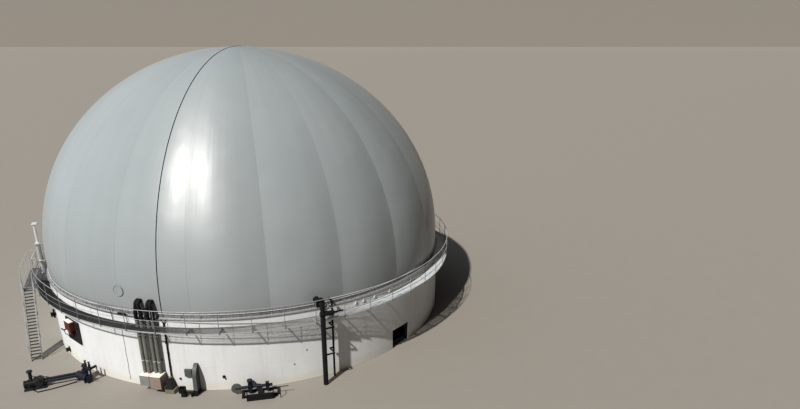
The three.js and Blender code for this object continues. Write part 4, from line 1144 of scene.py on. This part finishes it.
def build_front_pump():
    m = turn(-1.4)
    c = Shape(m @ Matrix.Rotation(-math.pi / 2, 4, "Z"))
    outline = [(ON_WALL, 0.30), (14.584, 0.30), (14.545, 1.25), (14.50, 1.38), (14.44, 1.50), (14.37, 1.60),
               (14.27, 1.70), (14.15, 1.785), (ON_WALL, 1.805)]
    c.prism(outline, *HOOD_X)
    for y in np.linspace(HOOD_X[0], HOOD_X[1] - 0.016, 4):
        rib = [(far + (0.005 if k > 0 else 0), z + (0.005 if k > 2 else 0))
               for k, (far, z) in enumerate(outline)]
        c.prism(rib, y, y + 0.016)
    c.piece("pump_hood", GREY_DARK, "dark_steel", ["covered_pump"], bevel=0.006)
    f = Shape(m)
    f.wall_box(*HOOD_X, ON_WALL, 14.678, 0, 0.26)
    f.wall_box(HOOD_X[0] + 0.01, HOOD_X[1] - 0.01, ON_WALL, 14.60, 0.255, 0.30)
    f.wall_box(-0.995, -0.655, 14.505, 14.79, 0.235, 0.56)
    for x in np.linspace(-0.98, -0.69, 7):
        f.wall_box(x, x + 0.016, 14.502, 14.798, 0.24, 0.598)
    shaft = (14.62, 0.26)
    f.level(-0.70, -0.165, *shaft, 0.084, 24)
    for x in (-0.64, -0.42, -0.20):
        f.level(x, x + 0.028, *shaft, 0.0895, 24)
    f.wall_box(-0.885, -0.595, 14.545, 14.795, 0, 0.235)
    f.wall_box(-0.335, -0.225, 14.565, 14.755, 0, 0.22)
    f.piece("pump_foot", BLACK, "black_pipe", bevel=0.008)


def build_panel():
    s = Shape(turn(-3.8))
    s.wall_box(-0.208, 0.208, ON_WALL, 14.145, 0.952, 1.408)
    s.wall_box(-0.195, 0.195, 14.143, 14.158, 0.965, 1.395)
    s.wall_box(0.15, 0.17, 14.157, 14.170, 1.14, 1.22)
    s.piece("panel_case", GREY_DARK, "grey_paint", ["control_panel"], bevel=0.006, segments=2)


def build_skid():
    m = turn(12.6)
    s = Shape(m)
    near, far = 14.34, 15.06
    for d in (near, far - 0.1):
        s.wall_box(-1.05, 1.05, d, d + 0.1, 0, 0.012)
        s.wall_box(-1.05, 1.05, d, d + 0.1, 0.108, 0.12)
        s.wall_box(-1.05, 1.05, d + 0.045, d + 0.055, 0.01, 0.11)
    for x, width in ((-1.05, 0.1), (-0.15, 0.3), (0.95, 0.1)):
        s.wall_box(x, x + width, near, far, 0.0, 0.115)
    line = far - 0.025
    for x in (-0.865, 0.725):
        s.upright(x, line, 0.023, 0.1, 0.5, 12)
    s.tube([(1.115, -15.385, 0.0), (1.115, -15.385, 0.505), (1.115, -line, 0.505)], 0.023, 12)
    s.level(-1.045, 1.595, line, 0.505, 0.024, 12)
    s.piece("skid_frame", BLACK, "dark_steel", ["pump_skid"])
    t = Shape(m)
    t.wall_box(-0.778, 0.738, 15.057, 15.418, 0.0, 0.085)
    t.wall_box(-0.778, 0.738, 15.364, 15.418, 0.08, 0.398)
    for x in (-0.778, 0.682):
        t.wall_box(x, x + 0.056, 15.057, 15.418, 0.08, 0.398)
    t.wall_box(-0.78, 0.74, 15.356, 15.42, 0.375, 0.40)
    for x in np.linspace(-0.55, 0.5, 4):
        t.wall_box(x, x + 0.03, 15.356, 15.4195, 0.09, 0.39)
    t.piece("cable_tray", BLACK, "dark_steel", bevel=0.004)
    p = Shape(m)
    end, d, z = -1.33, 14.56, 0.43
    p.outward(end, 14.502, 14.60, z, 0.205, 30)
    for dx, dz in circle(10, 0.25):
        p.outward(end + dx, 14.501, 14.619, z + dz, 0.014, 8)
    p.level(-1.40, 0.70, d, z, 0.088, 26)
    for x in (-1.1, -0.25, 0.66):
        p.level(x, x + 0.03, d, z, 0.0895, 26)
    p.outward(-0.40, ON_BRACKET, d, z, 0.088, 26)
    p.wall_box(-0.695, -0.425, 14.445, 14.695, 0.1205, 0.558)
    p.wall_box(0.305, 0.515, 14.465, 14.675, 0.1205, 0.638)
    motor_x, motor_d = -0.56, 14.57
    p.upright(motor_x, motor_d, 0.120, 0.55, 0.83, 26)
    for i in range(14):
        fin = Matrix.Translation((motor_x, -motor_d, 0)) @ Matrix.Rotation(i * math.pi / 7, 4, "Z")
        p.box(0.115, 0.129, -0.006, 0.006, 0.57, 0.80, fin)
    p.upright(motor_x, motor_d, 0.163, 0.805, 0.898, 28)
    p.piece("feed_pump_set", BLUE, "blue_paint", ["feed_pump"], bevel=0.005)
    w = Shape(m)
    for near in (14.501, 14.549, 14.595):
        w.outward(end, near, near + 0.024, z, 0.287, 36)
    w.piece("pump_flange", GREY_DARK, "dark_steel", bevel=0.004)


def build_small():
    lamp = Shape()
    for azimuth, heading, head_z in ((-17.6, -17.6, 4.62), (-51.9, -15.0, 4.66)):
        m = turn(azimuth)
        lamp.tube([(0.05, -14.10, DECK_Z + 0.001), (0, -14.12, head_z)], 0.018, 10, matrix=m)
        lamp.wall_box(-0.01, 0.11, 14.07, 14.13, DECK_Z + 0.001, DECK_Z + 0.012, m)
        x, y, _ = polar(azimuth, 14.12, 0)
        head = Matrix.Translation((x, y, head_z)) @ Matrix.Rotation(math.radians(heading), 4, "Z")
        lamp.box(-0.52, 0.01, -0.04, 0.04, -0.05, 0.05, head)
    lamp.tube([(0.06, -14.1, DECK_Z + 0.001), (-0.05, -14.1, 4.80)], 0.018, 10, matrix=turn(-21.9))
    lamp.piece("floodlights", BLACK, "black_pipe", bevel=0.006)
    path = [polar(-19.8 + 0.05 * math.sin(i * 0.9), 14.014, 4.0 - i * 3.8 / 23) for i in range(24)]
    Shape().tube(path, 0.010, 8).piece("wall_cable", BLACK, "black_pipe")
    stub = Shape()
    for azimuth, z, r, reach in ((4.4, 0.88, 0.06, 0.12), (12.5, 0.16, 0.05, 0.08),
                                 (-6.05, 0.73, 0.045, 0.06), (-45.8, 0.42, 0.13, 0.22)):
        m = turn(azimuth)
        stub.outward(0, ON_WALL, ON_WALL + reach, z, r, 20, m)
        stub.outward(0, ON_WALL, 14.02, z, r * 1.6, 20, m)
    stub.piece("wall_stubs", BLACK, "black_pipe")
    plug = Shape()
    for azimuth, z in ((24.2, 2.0), (21.0, 1.2)):
        plug.outward(0, ON_WALL, 14.03, z, 0.045, 20, turn(azimuth))
    plug.piece("wall_plugs", GREY, "grey_paint")


build_wall()
build_dome()
build_skirt()
build_window()
build_gallery_frame()
build_grating()
build_guardrails()
build_landing()
build_stair()
build_relief()
build_risers()
build_thin_riser()
build_air("left", 0, 1, 1.08)
build_air("right", 2, 3, 1.15)
build_box("blower_box_grey", (PIPES[0] + PIPES[1]) / 2, 0.62, 14.62, 0.40, 1.08, GREY, "grey_paint", LIT_TOP_PAINT)
build_box("blower_box_brown", (PIPES[2] + PIPES[3]) / 2, 0.68, 14.72, 0.35, 1.15, BROWN, "brown_paint", LIT_TOP_PAINT)
build_mixer()
build_side_valve()
build_valve_group()
build_transfer_pump()
build_conduit()
build_front_pump()
build_panel()
build_skid()
build_small()

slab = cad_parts["base_slab"]
for s in slab.material_slots:
    s.material = CONCRETE


# Studio

def build_studio():
    """A floor with a backdrop behind, a sky that is brighter at the left, the sun and the camera."""
    mesh = bpy.data.meshes.new("floor")
    half = FLOOR_HALF
    mesh.from_pydata([(-half, -half, 0), (half, -half, 0), (half, half, 0), (-half, half, 0),
                      (half, half, BACKDROP_TOP), (-half, half, BACKDROP_TOP)],
                     [], [(0, 1, 2, 3), (3, 2, 4, 5)])
    floor = show("floor", mesh)
    floor.location.z = -0.002
    n = Nodes("floor")
    n.color = n.mix(n.noise(n.place, 0.8, 5.0), (0.222, 0.203, 0.178), (0.238, 0.218, 0.192))
    mesh.materials.append(n.finish(0.9))
    scene = bpy.context.scene
    n = Nodes("studio", "worlds", "Generated")
    back = n.tree.nodes["Background"].inputs
    n.link(SKY_COLOR, back["Color"])
    n.link(n.span(n.axes()[0], -1.0, 0.05, 0.90, 0.02), back["Strength"])
    scene.world = n.owner
    sun = bpy.data.lights.new("key", "SUN")
    sun.energy = SUN_ENERGY
    sun.angle = math.radians(1.2)
    sun.color = SUN_COLOR
    lamp = show("key", sun)
    height = math.radians(SUN_HEIGHT)
    toward = polar(SUN_AZIMUTH, math.cos(height), math.sin(height))
    lamp.rotation_euler = toward.to_track_quat("Z", "Y").to_euler()
    cam = bpy.data.cameras.new("camera")
    cam.sensor_width = 36
    cam.lens = CAMERA_LENS
    cam.shift_y = CAMERA_SHIFT
    cam.clip_end = 3000
    camera = show("camera", cam)
    camera.location = CAMERA_PLACE
    camera.rotation_euler = (math.radians(90 - CAMERA_DOWN), 0, 0)
    scene.camera = camera
    scene.view_settings.view_transform = "Standard"


build_studio()
